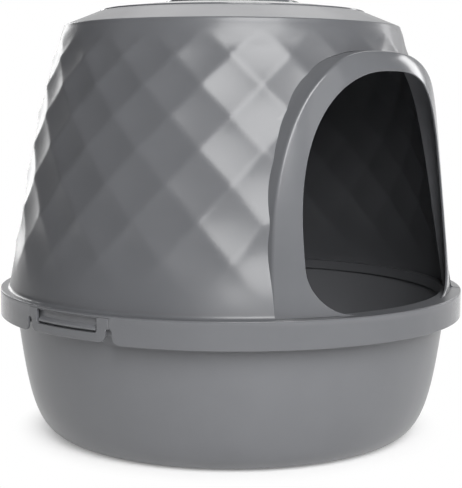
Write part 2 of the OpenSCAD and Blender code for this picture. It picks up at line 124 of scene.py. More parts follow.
def rounded(corners: Sequence[Corner], steps: int = 4) -> list[Point]:
    """Closed outline whose corners are rounded.

    Args:
        corners: Each corner as across, up and radius. A radius of 0 leaves it sharp.
        steps: Pieces of each rounding.

    Returns:
        The points of the outline.
    """
    line: list[Point] = []
    count = len(corners)
    for i, (x, z, radius) in enumerate(corners):
        here = Vector((x, z))
        back = Vector(corners[i - 1][:2]) - here
        ahead = Vector(corners[(i + 1) % count][:2]) - here
        if radius <= 0.0 or back.length < NO_LENGTH or ahead.length < NO_LENGTH:
            line.append((x, z))
            continue
        back.normalize()
        ahead.normalize()
        half = back.angle(ahead) / 2.0
        if half >= NEARLY_STRAIGHT:
            line.append((x, z))
            continue
        reach = radius / math.tan(half)
        first = here + back * reach
        last = here + ahead * reach
        middle = here + (back + ahead).normalized() * (radius / math.sin(half))
        a = first - middle
        b = last - middle
        turn = a.angle_signed(b)
        for k in range(steps + 1):
            t = -turn * k / steps
            line.append((middle.x + a.x * math.cos(t) - a.y * math.sin(t),
                         middle.y + a.x * math.sin(t) + a.y * math.cos(t)))
    return line


def around(angle: float, radius: float, height: float) -> Spot:
    """Point at an angle from the doorway's centre line.

    Args:
        angle: Angle in degrees, growing to the right.
        radius: Distance from the axis.
        height: Height above the floor.

    Returns:
        The point in the row frame.
    """
    a = math.radians(angle)
    return (radius * math.sin(a), -radius * math.cos(a), height)


class Shape:
    """Collects points and faces in millimetres, and makes one object of them."""

    def __init__(self) -> None:
        """Starts with nothing."""
        self.spots: list[Spot] = []
        self.faces: list[tuple[int, ...]] = []
        self.slots: list[int] = []

    def add(self, spots: Iterable[Spot], faces: Iterable[Sequence[int]], slot: int = 0) -> None:
        """Adds points and the faces between them.

        Args:
            spots: The new points.
            faces: Faces as indices into the new points.
            slot: Material slot of the faces.
        """
        base = len(self.spots)
        self.spots.extend(spots)
        for face in faces:
            self.faces.append(tuple(base + i for i in face))
            self.slots.append(slot)

    def grid(self, rows: Sequence[Sequence[Spot]], wrap_u: bool = False, wrap_v: bool = False,
             slot: int = 0) -> None:
        """Adds a net of four-sided faces.

        Args:
            rows: Rows of points, all of one length.
            wrap_u: Joins the last point of each row to its first.
            wrap_v: Joins the last row to the first.
            slot: Material slot of the faces.
        """
        n, m = len(rows[0]), len(rows)
        faces = [(j * n + i, j * n + (i + 1) % n, (j + 1) % m * n + (i + 1) % n, (j + 1) % m * n + i)
                 for j in range(m if wrap_v else m - 1) for i in range(n if wrap_u else n - 1)]
        self.add([p for row in rows for p in row], faces, slot)

    def turn(self, outline: Sequence[Point], parts: int = 360, closed: bool = True, slot: int = 0,
             start: float = 0.0, sweep: float = FULL_TURN) -> None:
        """Adds a turned form.

        Args:
            outline: Radius and height of each point, the solid on the left of the line.
            parts: Pieces of the turn.
            closed: Whether the outline's last point joins its first.
            slot: Material slot of the faces.
            start: First angle.
            sweep: Angle of the turn.
        """
        whole = sweep >= FULL_TURN
        angles = [start + sweep * i / parts for i in range(parts if whole else parts + 1)]
        rows = [[around(a, r, z) for a in angles] for r, z in outline]
        self.grid(rows, wrap_u=whole, wrap_v=closed, slot=slot)
        if not whole:
            ends = [[around(a, r, z) for r, z in outline] for a in (angles[0], angles[-1])]
            for end in ends:
                self.add(end, [tuple(range(len(end)))], slot)

    def build(self, name: str, sharp: float = 35.0) -> bpy.types.Object:
        """Makes the object, welded, with its outside facing out.

        Args:
            name: Name of the object.
            sharp: Angle in degrees above which an edge stays sharp.

        Returns:
            The new object, linked to the scene.
        """
        mesh = bpy.data.meshes.new(name)
        mesh.from_pydata([tuple(c * MM for c in p) for p in self.spots], [], self.faces)
        mesh.polygons.foreach_set("material_index", self.slots)
        work = bmesh.new()
        work.from_mesh(mesh)
        bmesh.ops.remove_doubles(work, verts=work.verts, dist=WELD)
        bmesh.ops.dissolve_degenerate(work, edges=work.edges, dist=WELD / 2.0)
        bmesh.ops.recalc_face_normals(work, faces=work.faces)
        work.to_mesh(mesh)
        work.free()
        piece = bpy.data.objects.new(name, mesh)
        bpy.context.scene.collection.objects.link(piece)
        smooth(piece, sharp)
        return piece


def smooth(piece: bpy.types.Object, sharp: float) -> None:
    """Shades a piece smooth, but for its sharp edges.

    Args:
        piece: The object.
        sharp: Angle in degrees above which an edge stays sharp.
    """
    piece.data.shade_smooth()
    piece.data.set_sharp_from_angle(angle=math.radians(sharp))


def apply_modifiers(piece: bpy.types.Object) -> None:
    """Writes a piece's modifiers into its mesh.

    Args:
        piece: The object.
    """
    graph = bpy.context.evaluated_depsgraph_get()
    mesh = bpy.data.meshes.new_from_object(piece.evaluated_get(graph))
    piece.modifiers.clear()
    piece.data = mesh


def even_normals(piece: bpy.types.Object) -> None:
    """Lets large faces rule the shading next to rounded edges.

    Args:
        piece: The object.
    """
    weigh = piece.modifiers.new("even", "WEIGHTED_NORMAL")
    weigh.keep_sharp = True
    weigh.weight = FACE_WEIGHT
    apply_modifiers(piece)


def cut(piece: bpy.types.Object, tool: bpy.types.Object) -> None:
    """Takes a tool's form out of a piece, and deletes the tool.

    Args:
        piece: The object that is cut.
        tool: The closed form that is taken out of it.
    """
    saw = piece.modifiers.new("cut", "BOOLEAN")
    saw.operation = "DIFFERENCE"
    saw.solver = "EXACT"
    saw.object = tool
    apply_modifiers(piece)
    bpy.data.objects.remove(tool)


@dataclass(frozen=True)
class Plate:
    """A plate drawn flat, with rounded edges, that is then laid on a curved face.

    Attributes:
        outline: Outer line, across and up.
        holes: Lines of the holes.
        depth: Thickness.
        edge: Rounding of the edges.
        step: Distance between the cuts that let the plate bend.
        flush: Height from which the outline isn't rounded, because it joins another form.
        edge_steps: Pieces of each rounding.
        sharpest: Least cosine of half a corner's turn that a moved line allows for.
    """

    outline: Sequence[Point]
    holes: Sequence[Sequence[Point]]
    depth: float
    edge: float
    step: float
    flush: float
    edge_steps: int = 3
    sharpest: float = 0.35

    def joins(self, height: float) -> bool:
        """Tells whether a height is where the plate joins another form."""
        return height >= self.flush - NO_GAP

    def inset(self, line: Sequence[Point], amount: float) -> list[Point]:
        """Line moved into the plate.

        Args:
            line: The outline, or a hole's line.
            amount: How far each point moves.

        Returns:
            The moved points.
        """
        area = sum(a[0] * b[1] - b[0] * a[1] for a, b in zip(line, [*line[1:], line[0]]))
        side = 1.0 if (area > 0.0) == (line is self.outline) else -1.0
        moved = []
        for i, here in enumerate(line):
            spot = Vector(here)
            back = (spot - Vector(line[i - 1])).normalized()
            ahead = (Vector(line[(i + 1) % len(line)]) - spot).normalized()
            way = Vector((-(back.y + ahead.y), back.x + ahead.x))
            way = way.normalized() * side / max(self.sharpest, math.cos(back.angle(ahead, 0.0) / 2.0))
            size = 0.0 if self.joins(here[1]) else amount
            moved.append((spot.x + way.x * size, spot.y + way.y * size))
        return moved

    def profile(self) -> list[Point]:
        """Depth and inset of each line of a rounded edge, from the side wall to the face."""
        turns = [math.radians(90.0 * k / self.edge_steps) for k in range(self.edge_steps + 1)]
        return [(self.edge * (1.0 - math.sin(t)), self.edge * (1.0 - math.cos(t))) for t in turns]

    @staticmethod
    def join(work: bmesh.types.BMesh, low: Sequence[bmesh.types.BMVert],
             high: Sequence[bmesh.types.BMVert]) -> None:
        """Joins two closed rings of points by faces.

        Args:
            work: The mesh that holds the points.
            low: First ring.
            high: Second ring, with as many points.
        """
        for i in range(len(low)):
            j = (i + 1) % len(low)
            work.faces.new((low[i], low[j], high[j], high[i]))

    def add_face(self, work: bmesh.types.BMesh, front: bool) -> None:
        """Adds the front or the back face with its rounded edges.

        Args:
            work: The mesh that takes it.
            front: Whether it is the front face.
        """
        rings: list[list[bmesh.types.BMVert]] = []
        for line in (self.outline, *self.holes):
            last: list[bmesh.types.BMVert] = []
            for sink, shift in self.profile():
                ring = []
                for (x, z), origin in zip(self.inset(line, shift), line):
                    depth = 0.0 if self.joins(origin[1]) else sink
                    ring.append(work.verts.new((x, z, depth if front else self.depth - depth)))
                if last:
                    self.join(work, last, ring)
                last = ring
            rings.append(last)
        flat = [[Vector((v.co.x, v.co.y, 0.0)) for v in ring] for ring in rings]
        corners = [v for ring in rings for v in ring]
        for triangle in tessellate_polygon(flat):
            if len(set(triangle)) == 3:
                work.faces.new([corners[i] for i in triangle])

    def lay(self, shape: Shape, place: Callable[[float, float, float], Spot]) -> None:
        """Adds the bent plate to a shape.

        Args:
            shape: The shape that takes it.
            place: Gives the point for across, up and depth below the face.
        """
        work = bmesh.new()
        self.add_face(work, True)
        self.add_face(work, False)
        for line in (self.outline, *self.holes):
            sinks = [0.0 if self.joins(z) else self.edge for _, z in line]
            low = [work.verts.new((x, z, sink)) for (x, z), sink in zip(line, sinks)]
            high = [work.verts.new((x, z, self.depth - sink)) for (x, z), sink in zip(line, sinks)]
            self.join(work, low, high)
        bmesh.ops.remove_doubles(work, verts=work.verts, dist=PLATE_WELD)
        across = [v.co.x for v in work.verts]
        for k in range(math.ceil(min(across) / self.step), math.floor(max(across) / self.step) + 1):
            bmesh.ops.bisect_plane(work, geom=[*work.verts, *work.edges, *work.faces],
                                   plane_co=(k * self.step, 0, 0), plane_no=(1, 0, 0),
                                   dist=CUT_SNAP)
        work.verts.index_update()
        shape.add([place(*v.co) for v in work.verts], [[v.index for v in f.verts] for f in work.faces])
        work.free()


# Finishes

def linear(code: str) -> tuple[float, float, float, float]:
    """Turns an sRGB hex colour into Blender's linear numbers.

    Args:
        code: Six hex digits.

    Returns:
        Red, green, blue and 1.
    """
    parts = [int(code[i:i + 2], 16) / 255.0 for i in (0, 2, 4)]
    red, green, blue = [p / 12.92 if p <= 0.04045 else ((p + 0.055) / 1.055) ** 2.4 for p in parts]
    return (red, green, blue, 1.0)


def empty_tree(owner: bpy.types.Material | bpy.types.World) -> bpy.types.NodeTree:
    """Gives a material or world an empty node tree.

    Args:
        owner: The material or world.

    Returns:
        Its node tree.
    """
    owner.use_nodes = True
    owner.node_tree.nodes.clear()
    return owner.node_tree


def node(tree: bpy.types.NodeTree, kind: str, settings: dict[str | int, object] | None = None,
         links: dict[str | int, object] | None = None) -> bpy.types.Node:
    """Adds one node to a tree.

    Args:
        tree: The node tree.
        kind: The node's type name.
        settings: Values by socket name or number, or by attribute name where there is no such socket.
        links: Output sockets by the name or number of the input that takes each.

    Returns:
        The new node.
    """
    new = tree.nodes.new(kind)
    for key, value in (settings or {}).items():
        if isinstance(key, str) and hasattr(new, key) and key not in new.inputs:
            setattr(new, key, value)
        else:
            new.inputs[key].default_value = value
    for key, socket in (links or {}).items():
        tree.links.new(socket, new.inputs[key])
    return new


@dataclass(frozen=True)
class MouldedPlastic:
    """Polypropylene, injection moulded: its skin copies the mould's spark-eroded or polished steel.

    Attributes:
        name: Name of the material.
        shade: Colour of the pigmented plastic.
        pale: Colour where the melt flowed thin and edges are burnished.
        roughness: Roughness of the skin.
        unevenness: How much the roughness varies from place to place.
        grain_mm: Size of the mould's eroded grain, drawn coarser than its 0.05 mm so that it shows.
        grain_depth: Strength of the grain's bump.
        grain_m: Height of the grain in metres.
        wave_mm: Size of the slow shrink waves in the wall.
        wave_depth: Strength of the waves' bump.
        wave_m: Height of the waves in metres.
        cloud_size: Size of the clouds in the colour, measured in waves.
        edge_highlight: Pointiness of a convex edge at which the painted highlight in the pale colour
            starts, and at which it is full.
        edge_highlight_share: Share of the pale colour in the painted highlight on a convex edge.
        cloud_share: Share of the pale colour in the clouds.
        ior: Refractive index of the plastic.
        coat: Share of the skin that the mould's steel left smooth between its grains.
        coat_roughness: Roughness of that smooth share.
    """

    name: str
    shade: str
    pale: str
    roughness: float
    unevenness: float
    grain_mm: float
    grain_depth: float
    grain_m: float = 0.0002
    wave_mm: float = 55.0
    wave_depth: float = 0.12
    wave_m: float = 0.004
    cloud_size: float = 1.6
    edge_highlight: Point = (0.50, 0.60)
    edge_highlight_share: float = 0.55
    cloud_share: float = 0.25
    ior: float = 1.49
    coat: float = 0.0
    coat_roughness: float = 0.16

    def make(self) -> bpy.types.Material:
        """Builds the material.

        Returns:
            The new material.
        """
        material = bpy.data.materials.new(self.name)
        tree = empty_tree(material)
        spot = node(tree, "ShaderNodeTexCoord").outputs["Object"]
        cloud = node(tree, "ShaderNodeTexNoise",
                     {"Scale": PER_METRE / (self.wave_mm * self.cloud_size), "Detail": 3.0},
                     {"Vector": spot})
        grain = node(tree, "ShaderNodeTexNoise", {"Scale": PER_METRE / self.grain_mm, "Detail": 2.0},
                     {"Vector": spot})
        wave = node(tree, "ShaderNodeTexNoise", {"Scale": PER_METRE / self.wave_mm, "Detail": 1.0},
                    {"Vector": spot})
        # Convex edges turn towards the pale colour by Pointiness: a painted highlight.
        edge_highlit = node(tree, "ShaderNodeMapRange",
                         {"From Min": self.edge_highlight[0], "From Max": self.edge_highlight[1], "To Min": 0.0,
                          "To Max": self.edge_highlight_share},
                         {"Value": node(tree, "ShaderNodeNewGeometry").outputs["Pointiness"]})
        clouded = node(tree, "ShaderNodeMapRange",
                       {"From Min": NOISE_LOW, "From Max": NOISE_HIGH, "To Min": 0.0,
                        "To Max": self.cloud_share}, {"Value": cloud.outputs["Fac"]})
        share = node(tree, "ShaderNodeMath", {"operation": "MAXIMUM"},
                     {0: edge_highlit.outputs["Result"], 1: clouded.outputs["Result"]})
        colour = node(tree, "ShaderNodeMix",
                      {"data_type": "RGBA", MIX_COLOURS[0]: linear(self.shade),
                       MIX_COLOURS[1]: linear(self.pale)}, {MIX_FACTOR: share.outputs[0]})
        rough = node(tree, "ShaderNodeMapRange",
                     {"From Min": NOISE_LOW, "From Max": NOISE_HIGH,
                      "To Min": self.roughness - self.unevenness,
                      "To Max": self.roughness + self.unevenness}, {"Value": cloud.outputs["Fac"]})
        slow = node(tree, "ShaderNodeBump", {"Strength": self.wave_depth, "Distance": self.wave_m},
                    {"Height": wave.outputs["Fac"]})
        fine = node(tree, "ShaderNodeBump", {"Strength": self.grain_depth, "Distance": self.grain_m},
                    {"Height": grain.outputs["Fac"], "Normal": slow.outputs["Normal"]})
        skin = node(tree, "ShaderNodeBsdfPrincipled",
                    {"IOR": self.ior, "Coat Weight": self.coat, "Coat Roughness": self.coat_roughness},
                    {"Base Color": colour.outputs[MIX_COLOUR_OUT], "Roughness": rough.outputs["Result"],
                     "Normal": fine.outputs["Normal"]})
        node(tree, "ShaderNodeOutputMaterial", {}, {"Surface": skin.outputs["BSDF"]})
        return material


@dataclass(frozen=True)
class CarbonFoam:
    """Open-celled polyether foam loaded with charcoal dust: near black, matt and full of pores.

    Attributes:
        name: Name of the material.
        shade: Colour in the pores, darker than the webs as painted shade in the hollows.
        pale: Colour of the webs between them.
        pore_mm: Size of the pores, as in foam with 14 of them to the inch.
        pore_depth: Strength of the pores' bump.
        pore_m: Depth of the pores in metres.
        roughness: Roughness of the webs.
    """

    name: str = "charcoal_polyether_foam"
    shade: str = "2A2A2C"
    pale: str = "4A4A4D"
    pore_mm: float = 1.8
    pore_depth: float = 0.9
    pore_m: float = 0.001
    roughness: float = 0.95

    def make(self) -> bpy.types.Material:
        """Builds the material.

        Returns:
            The new material.
        """
        material = bpy.data.materials.new(self.name)
        tree = empty_tree(material)
        spot = node(tree, "ShaderNodeTexCoord").outputs["Object"]
        pores = node(tree, "ShaderNodeTexVoronoi", {"Scale": PER_METRE / self.pore_mm},
                     {"Vector": spot})
        # The pores are painted darker than the webs: painted shade in the foam's hollows.
        colour = node(tree, "ShaderNodeMix",
                      {"data_type": "RGBA", MIX_COLOURS[0]: linear(self.shade),
                       MIX_COLOURS[1]: linear(self.pale)}, {MIX_FACTOR: pores.outputs["Distance"]})
        bump = node(tree, "ShaderNodeBump", {"Strength": self.pore_depth, "Distance": self.pore_m},
                    {"Height": pores.outputs["Distance"]})
        skin = node(tree, "ShaderNodeBsdfPrincipled", {"Roughness": self.roughness},
                    {"Base Color": colour.outputs[MIX_COLOUR_OUT], "Normal": bump.outputs["Normal"]})
        node(tree, "ShaderNodeOutputMaterial", {}, {"Surface": skin.outputs["BSDF"]})
        return material


class Skin(Enum):
    """The finishes of the box, by what each is for."""

    # The hood's wall: finely spark-eroded, so that the lamps spread softly over each dish
    HOOD = MouldedPlastic("polypropylene_eroded_grey", "545558", "656669", 0.38, 0.02, 1.3, 0.05,
                          coat=0.15)
    # Skirt, surround and loops: from polished steel, so that edges glint and faces mirror the room
    TRIM = MouldedPlastic("polypropylene_polished_grey", "5A5B5E", "6B6C6F", 0.16, 0.02, 1.2, 0.02)
    # The pan: from blasted steel, so that its belly shades off evenly with no clear mirror image
    PAN = MouldedPlastic("polypropylene_blasted_grey", "616265", "727376", 0.32, 0.03, 1.3, 0.06)
    # The lid: from the brightest steel, so that the roof turns pale where it mirrors the backdrop
    LID = MouldedPlastic("polypropylene_lid_grey", "5E5F62", "6F7073", 0.12, 0.02, 1.2, 0.02)
    # The handle: blasted and a shade darker, so that it reads in its well
    HANDLE = MouldedPlastic("polypropylene_handle_grey", "5A5C60", "74767A", 0.32, 0.04, 1.2, 0.08)
    # The filter tray: coarsely eroded and dark, because nobody looks at it
    TRAY = MouldedPlastic("polypropylene_tray_grey", "505256", "6A6C70", 0.38, 0.04, 1.2, 0.10)
    # The filter pad: foam, a dull black in the tray's slots
    FOAM = CarbonFoam()


@dataclass
class Paintbox:
    """Makes each finish once, and hands it out.

    Attributes:
        made: Materials that are made so far.
    """

    made: dict[Skin, bpy.types.Material] = field(default_factory=dict)

    def get(self, skin: Skin) -> bpy.types.Material:
        """Hands out the material of a finish.

        Args:
            skin: The finish.

        Returns:
            Its material.
        """
        if skin not in self.made:
            self.made[skin] = skin.value.make()
        return self.made[skin]

    def dress(self, piece: bpy.types.Object, *skins: Skin) -> None:
        """Gives a piece its materials.

        Args:
            piece: The object.
            skins: Its finishes, in the order of its slots.
        """
        piece.data.materials.clear()
        for skin in skins:
            piece.data.materials.append(self.get(skin))


# The box

@dataclass
class Body:
    """Sizes that several pieces share.

    Attributes:
        pan_rim_z: Height of the pan's rim.
        seat_gap: Gap between the rim and the shelf that rests on it.
        shelf_t: Thickness of the shelf.
        skirt_r: Radius of the skirt's outer face.
        skirt_t: Thickness of the skirt.
        skirt_z: Height of the skirt's lower edge.
        wall_foot_r: Radius of the hood's wall at its foot.
        wall_foot_up: Height above the shelf at which the wall's line starts.
        wall_top_z: Height of the wall's top.
        wall_lean: How far the wall leans in from foot to top.
        wall_turn: How far it turns in further near its top.
        wall_t: Thickness of the wall.
        loop_angle: Angle of each snap loop.
        loop_half_w: Half the width of a loop with its notches.
        notch_half_w: Half the width of a notch.
        notch_h: Height of a notch.
    """

    pan_rim_z: float = 153.8
    seat_gap: float = 0.3
    shelf_t: float = 2.6
    skirt_r: float = 250.0
    skirt_t: float = 2.8
    skirt_z: float = 129.0
    wall_foot_r: float = 240.2
    wall_foot_up: float = 3.0
    wall_top_z: float = 432.6
    wall_lean: float = 42.0
    wall_turn: float = 18.0
    wall_t: float = 2.8
    loop_angle: float = 87.0
    loop_half_w: float = 54.8
    notch_half_w: float = 3.4
    notch_h: float = 15.0

    @property
    def shelf_z(self) -> float:
        """Height of the shelf's underside."""
        return self.pan_rim_z + self.seat_gap

    @property
    def shelf_top_z(self) -> float:
        """Height of the shelf's top."""
        return self.shelf_z + self.shelf_t

    @property
    def wall_foot_z(self) -> float:
        """Height at which the wall's line starts."""
        return self.shelf_top_z + self.wall_foot_up

    @property
    def wall_top_r(self) -> float:
        """Radius of the wall's outer face at its top."""
        return self.wall_foot_r - self.wall_lean - self.wall_turn

    def wall_r(self, z: float) -> float:
        """Radius of the wall's outer face, before it is dished.

        Args:
            z: Height above the floor.

        Returns:
            The radius.
        """
        h = (z - self.wall_foot_z) / (self.wall_top_z - self.wall_foot_z)
        return self.wall_foot_r - self.wall_lean * h - self.wall_turn * max(h, 0.0) ** 4


@dataclass
class Pan:
    """The litter pan: bowl, turned-down rim, gussets and catches.

    Attributes:
        body: The shared sizes.
        foot_r: Radius of the bowl at its foot.
        foot_ring_w: Width of the ring that it stands on.
        foot_ring_h: Height of that ring.
        mouth_r: Radius of the bowl's outer face at the rim.
        belly_out: How far the curve runs out level from the foot.
        belly_up: How far it runs down from the mouth.
        lean: Lean of the wall at the mouth.
        wall: Thickness of the wall.
        floor_t: Thickness of the floor.
        floor_fillet: Rounding where floor and wall meet inside.
        fillet_in: How far the middle of that rounding lies inside the foot's radius.
        fillet_start: Angle at which the rounding meets the wall.
        fillet_clear: Height above the floor up to which the rounding takes the wall's place.
        flange_r: Outer radius of the turned-down rim.
        flange_t: Thickness of the rim.
        lip_h: How far the rim reaches down.
        lip_edge: Rounding of the rim's lower edge.
        root_fillet: Rounding under the rim.
        rim_edge: Rounding of the rim's outer edge.
        mouth_edge: Rounding of the rim's inner edge.
        join: Reach of the short slanted pieces between the rim and the curve, down and across.
        gusset_count: Number of gussets.
        gusset_t: Thickness of a gusset.
        gusset_h: Height of a gusset.
        gusset_root: How far a gusset runs into the bowl's wall.
        gusset_lap: How far it runs into the rim.
        catch_half_w: Half the width of a catch.
        catch_z: Height of a catch's lower face.
        catch_out: How far it stands out from the rim.
        catch_h: Height of its root.
        catch_face_h: Height of its face.
        catch_root: How far its root lies inside the rim.
        catch_edges: Roundings of its lower and upper edge.
        catch_steps: Pieces of a catch along the rim.
        curve_steps: Pieces of the bowl's curve.
    """

    body: Body
    foot_r: float = 182.0
    foot_ring_w: float = 10.0
    foot_ring_h: float = 2.0
    mouth_r: float = 236.0
    belly_out: float = 38.0
    belly_up: float = 84.0
    lean: float = 0.14
    wall: float = 3.0
    floor_t: float = 3.2
    floor_fillet: float = 6.0
    fillet_in: float = 4.0
    fillet_start: float = -50.0
    fillet_clear: float = 0.8
    flange_r: float = 245.4
    flange_t: float = 2.6
    lip_h: float = 17.0
    lip_edge: float = 0.7
    root_fillet: float = 0.6
    rim_edge: float = 1.4
    mouth_edge: float = 1.0
    join: Point = (1.0, 0.3)
    gusset_count: int = 24
    gusset_t: float = 2.0
    gusset_h: float = 12.0
    gusset_root: float = 1.0
    gusset_lap: float = 0.4
    catch_half_w: float = 39.5
    catch_z: float = 141.3
    catch_out: float = 3.4
    catch_h: float = 5.8
    catch_face_h: float = 2.4
    catch_root: float = 1.2
    catch_edges: Point = (0.5, 0.8)
    catch_steps: int = 24
    curve_steps: int = 48

    def bowl(self, inset: float) -> list[Point]:
        """Line of the bowl's wall from foot to mouth.

        Args:
            inset: How far it is moved into the bowl.

        Returns:
            Radius and height of each point.
        """
        rim = self.body.pan_rim_z
        a, b, c, d = [Vector(p) for p in (
            (self.foot_r, 0), (self.foot_r + self.belly_out, 0),
            (self.mouth_r - self.lean * self.belly_up, rim - self.belly_up), (self.mouth_r, rim))]
        line = []
        for i in range(self.curve_steps + 1):
            t = i / self.curve_steps
            u = 1.0 - t
            spot = u ** 3 * a + 3 * u * u * t * b + 3 * u * t * t * c + t ** 3 * d
            way = u * u * (b - a) + 2 * u * t * (c - b) + t * t * (d - c)
            way.normalize()
            line.append((spot.x - way.y * inset, spot.y + way.x * inset))
        return line

    def rim_line(self) -> list[Point]:
        """Line round the turned-down rim, from the bowl's outer face to its inner face.

        Returns:
            Radius and height of each point.
        """
        rim = self.body.pan_rim_z
        under = rim - self.flange_t
        low = rim - self.lip_h
        root = self.mouth_r - self.lean * self.flange_t
        lip_in = self.flange_r - self.flange_t
        inner_r = self.mouth_r - self.wall
        down, across = self.join
        return rounded([
            (root - across, under - down, 0.0), (root, under, self.root_fillet),
            (lip_in, under, self.root_fillet), (lip_in, low, self.lip_edge),
            (self.flange_r, low, self.lip_edge), (self.flange_r, rim, self.rim_edge),
            (inner_r, rim, self.mouth_edge), (inner_r - across, rim - 2.0 * down, 0.0)])[:-1]

    def section(self) -> list[Point]:
        """Line of the turned pan, from the axis below the floor to the axis above it.

        Returns:
            Radius and height of each point.
        """
        rim = self.body.pan_rim_z
        floor_top = self.foot_ring_h + self.floor_t
        down, _ = self.join
        outer = [p for p in self.bowl(0.0)[:-1] if p[1] < rim - self.flange_t - down]
        inner = [p for p in self.bowl(self.wall)[-2::-1]
                 if floor_top + self.fillet_clear < p[1] < rim - 2.0 * down]
        base = self.foot_r - self.foot_ring_w
        fillet = arc((self.foot_r - self.fillet_in, floor_top + self.floor_fillet),
                     self.floor_fillet, self.fillet_start, -90, 5)
        return [(0.0, self.foot_ring_h), (base - self.foot_ring_h, self.foot_ring_h), (base, 0.0),
                *outer, *self.rim_line(), *inner, *fillet[1:], (0.0, floor_top)]

    def build(self) -> bpy.types.Object:
        """Builds the pan's mesh.

        Returns:
            The new object.
        """
        shape = Shape()
        shape.turn(self.section(), closed=False)
        for i in range(self.gusset_count):
            self.add_gusset(shape, (i + 0.5) * FULL_TURN / self.gusset_count)
        for side in (-1, 1):
            self.add_catch(shape, side * self.body.loop_angle)
        piece = shape.build("pan_bowl")
        even_normals(piece)
        return piece

    def add_catch(self, shape: Shape, angle: float) -> None:
        """Adds one catch, a wedge that a loop snaps under.

        Args:
            shape: The shape that takes it.
            angle: Its angle.
        """
        root = self.flange_r - self.catch_root
        top = self.flange_r + self.catch_out
        half = math.degrees(math.asin(self.catch_half_w / top))
        wedge = rounded([(root, self.catch_z, 0.0), (top, self.catch_z, self.catch_edges[0]),
                         (top, self.catch_z + self.catch_face_h, self.catch_edges[1]),
                         (root, self.catch_z + self.catch_h, 0.0)])
        shape.turn(wedge, self.catch_steps, start=angle - half, sweep=2 * half)

    def add_gusset(self, shape: Shape, angle: float) -> None:
        """Adds one gusset under the rim.

        Args:
            shape: The shape that takes it.
            angle: Its angle.
        """
        under = self.body.pan_rim_z - self.flange_t
        near = self.mouth_r - self.lean * self.gusset_h - self.gusset_root
        far = self.flange_r - self.flange_t / 2.0
        low, high = under - self.gusset_h, under + self.gusset_lap
        half = math.degrees(self.gusset_t / 2.0 / self.mouth_r)
        shape.turn([(near, low), (far, low), (far, high), (near, high)], 2, start=angle - half,
                   sweep=2 * half)


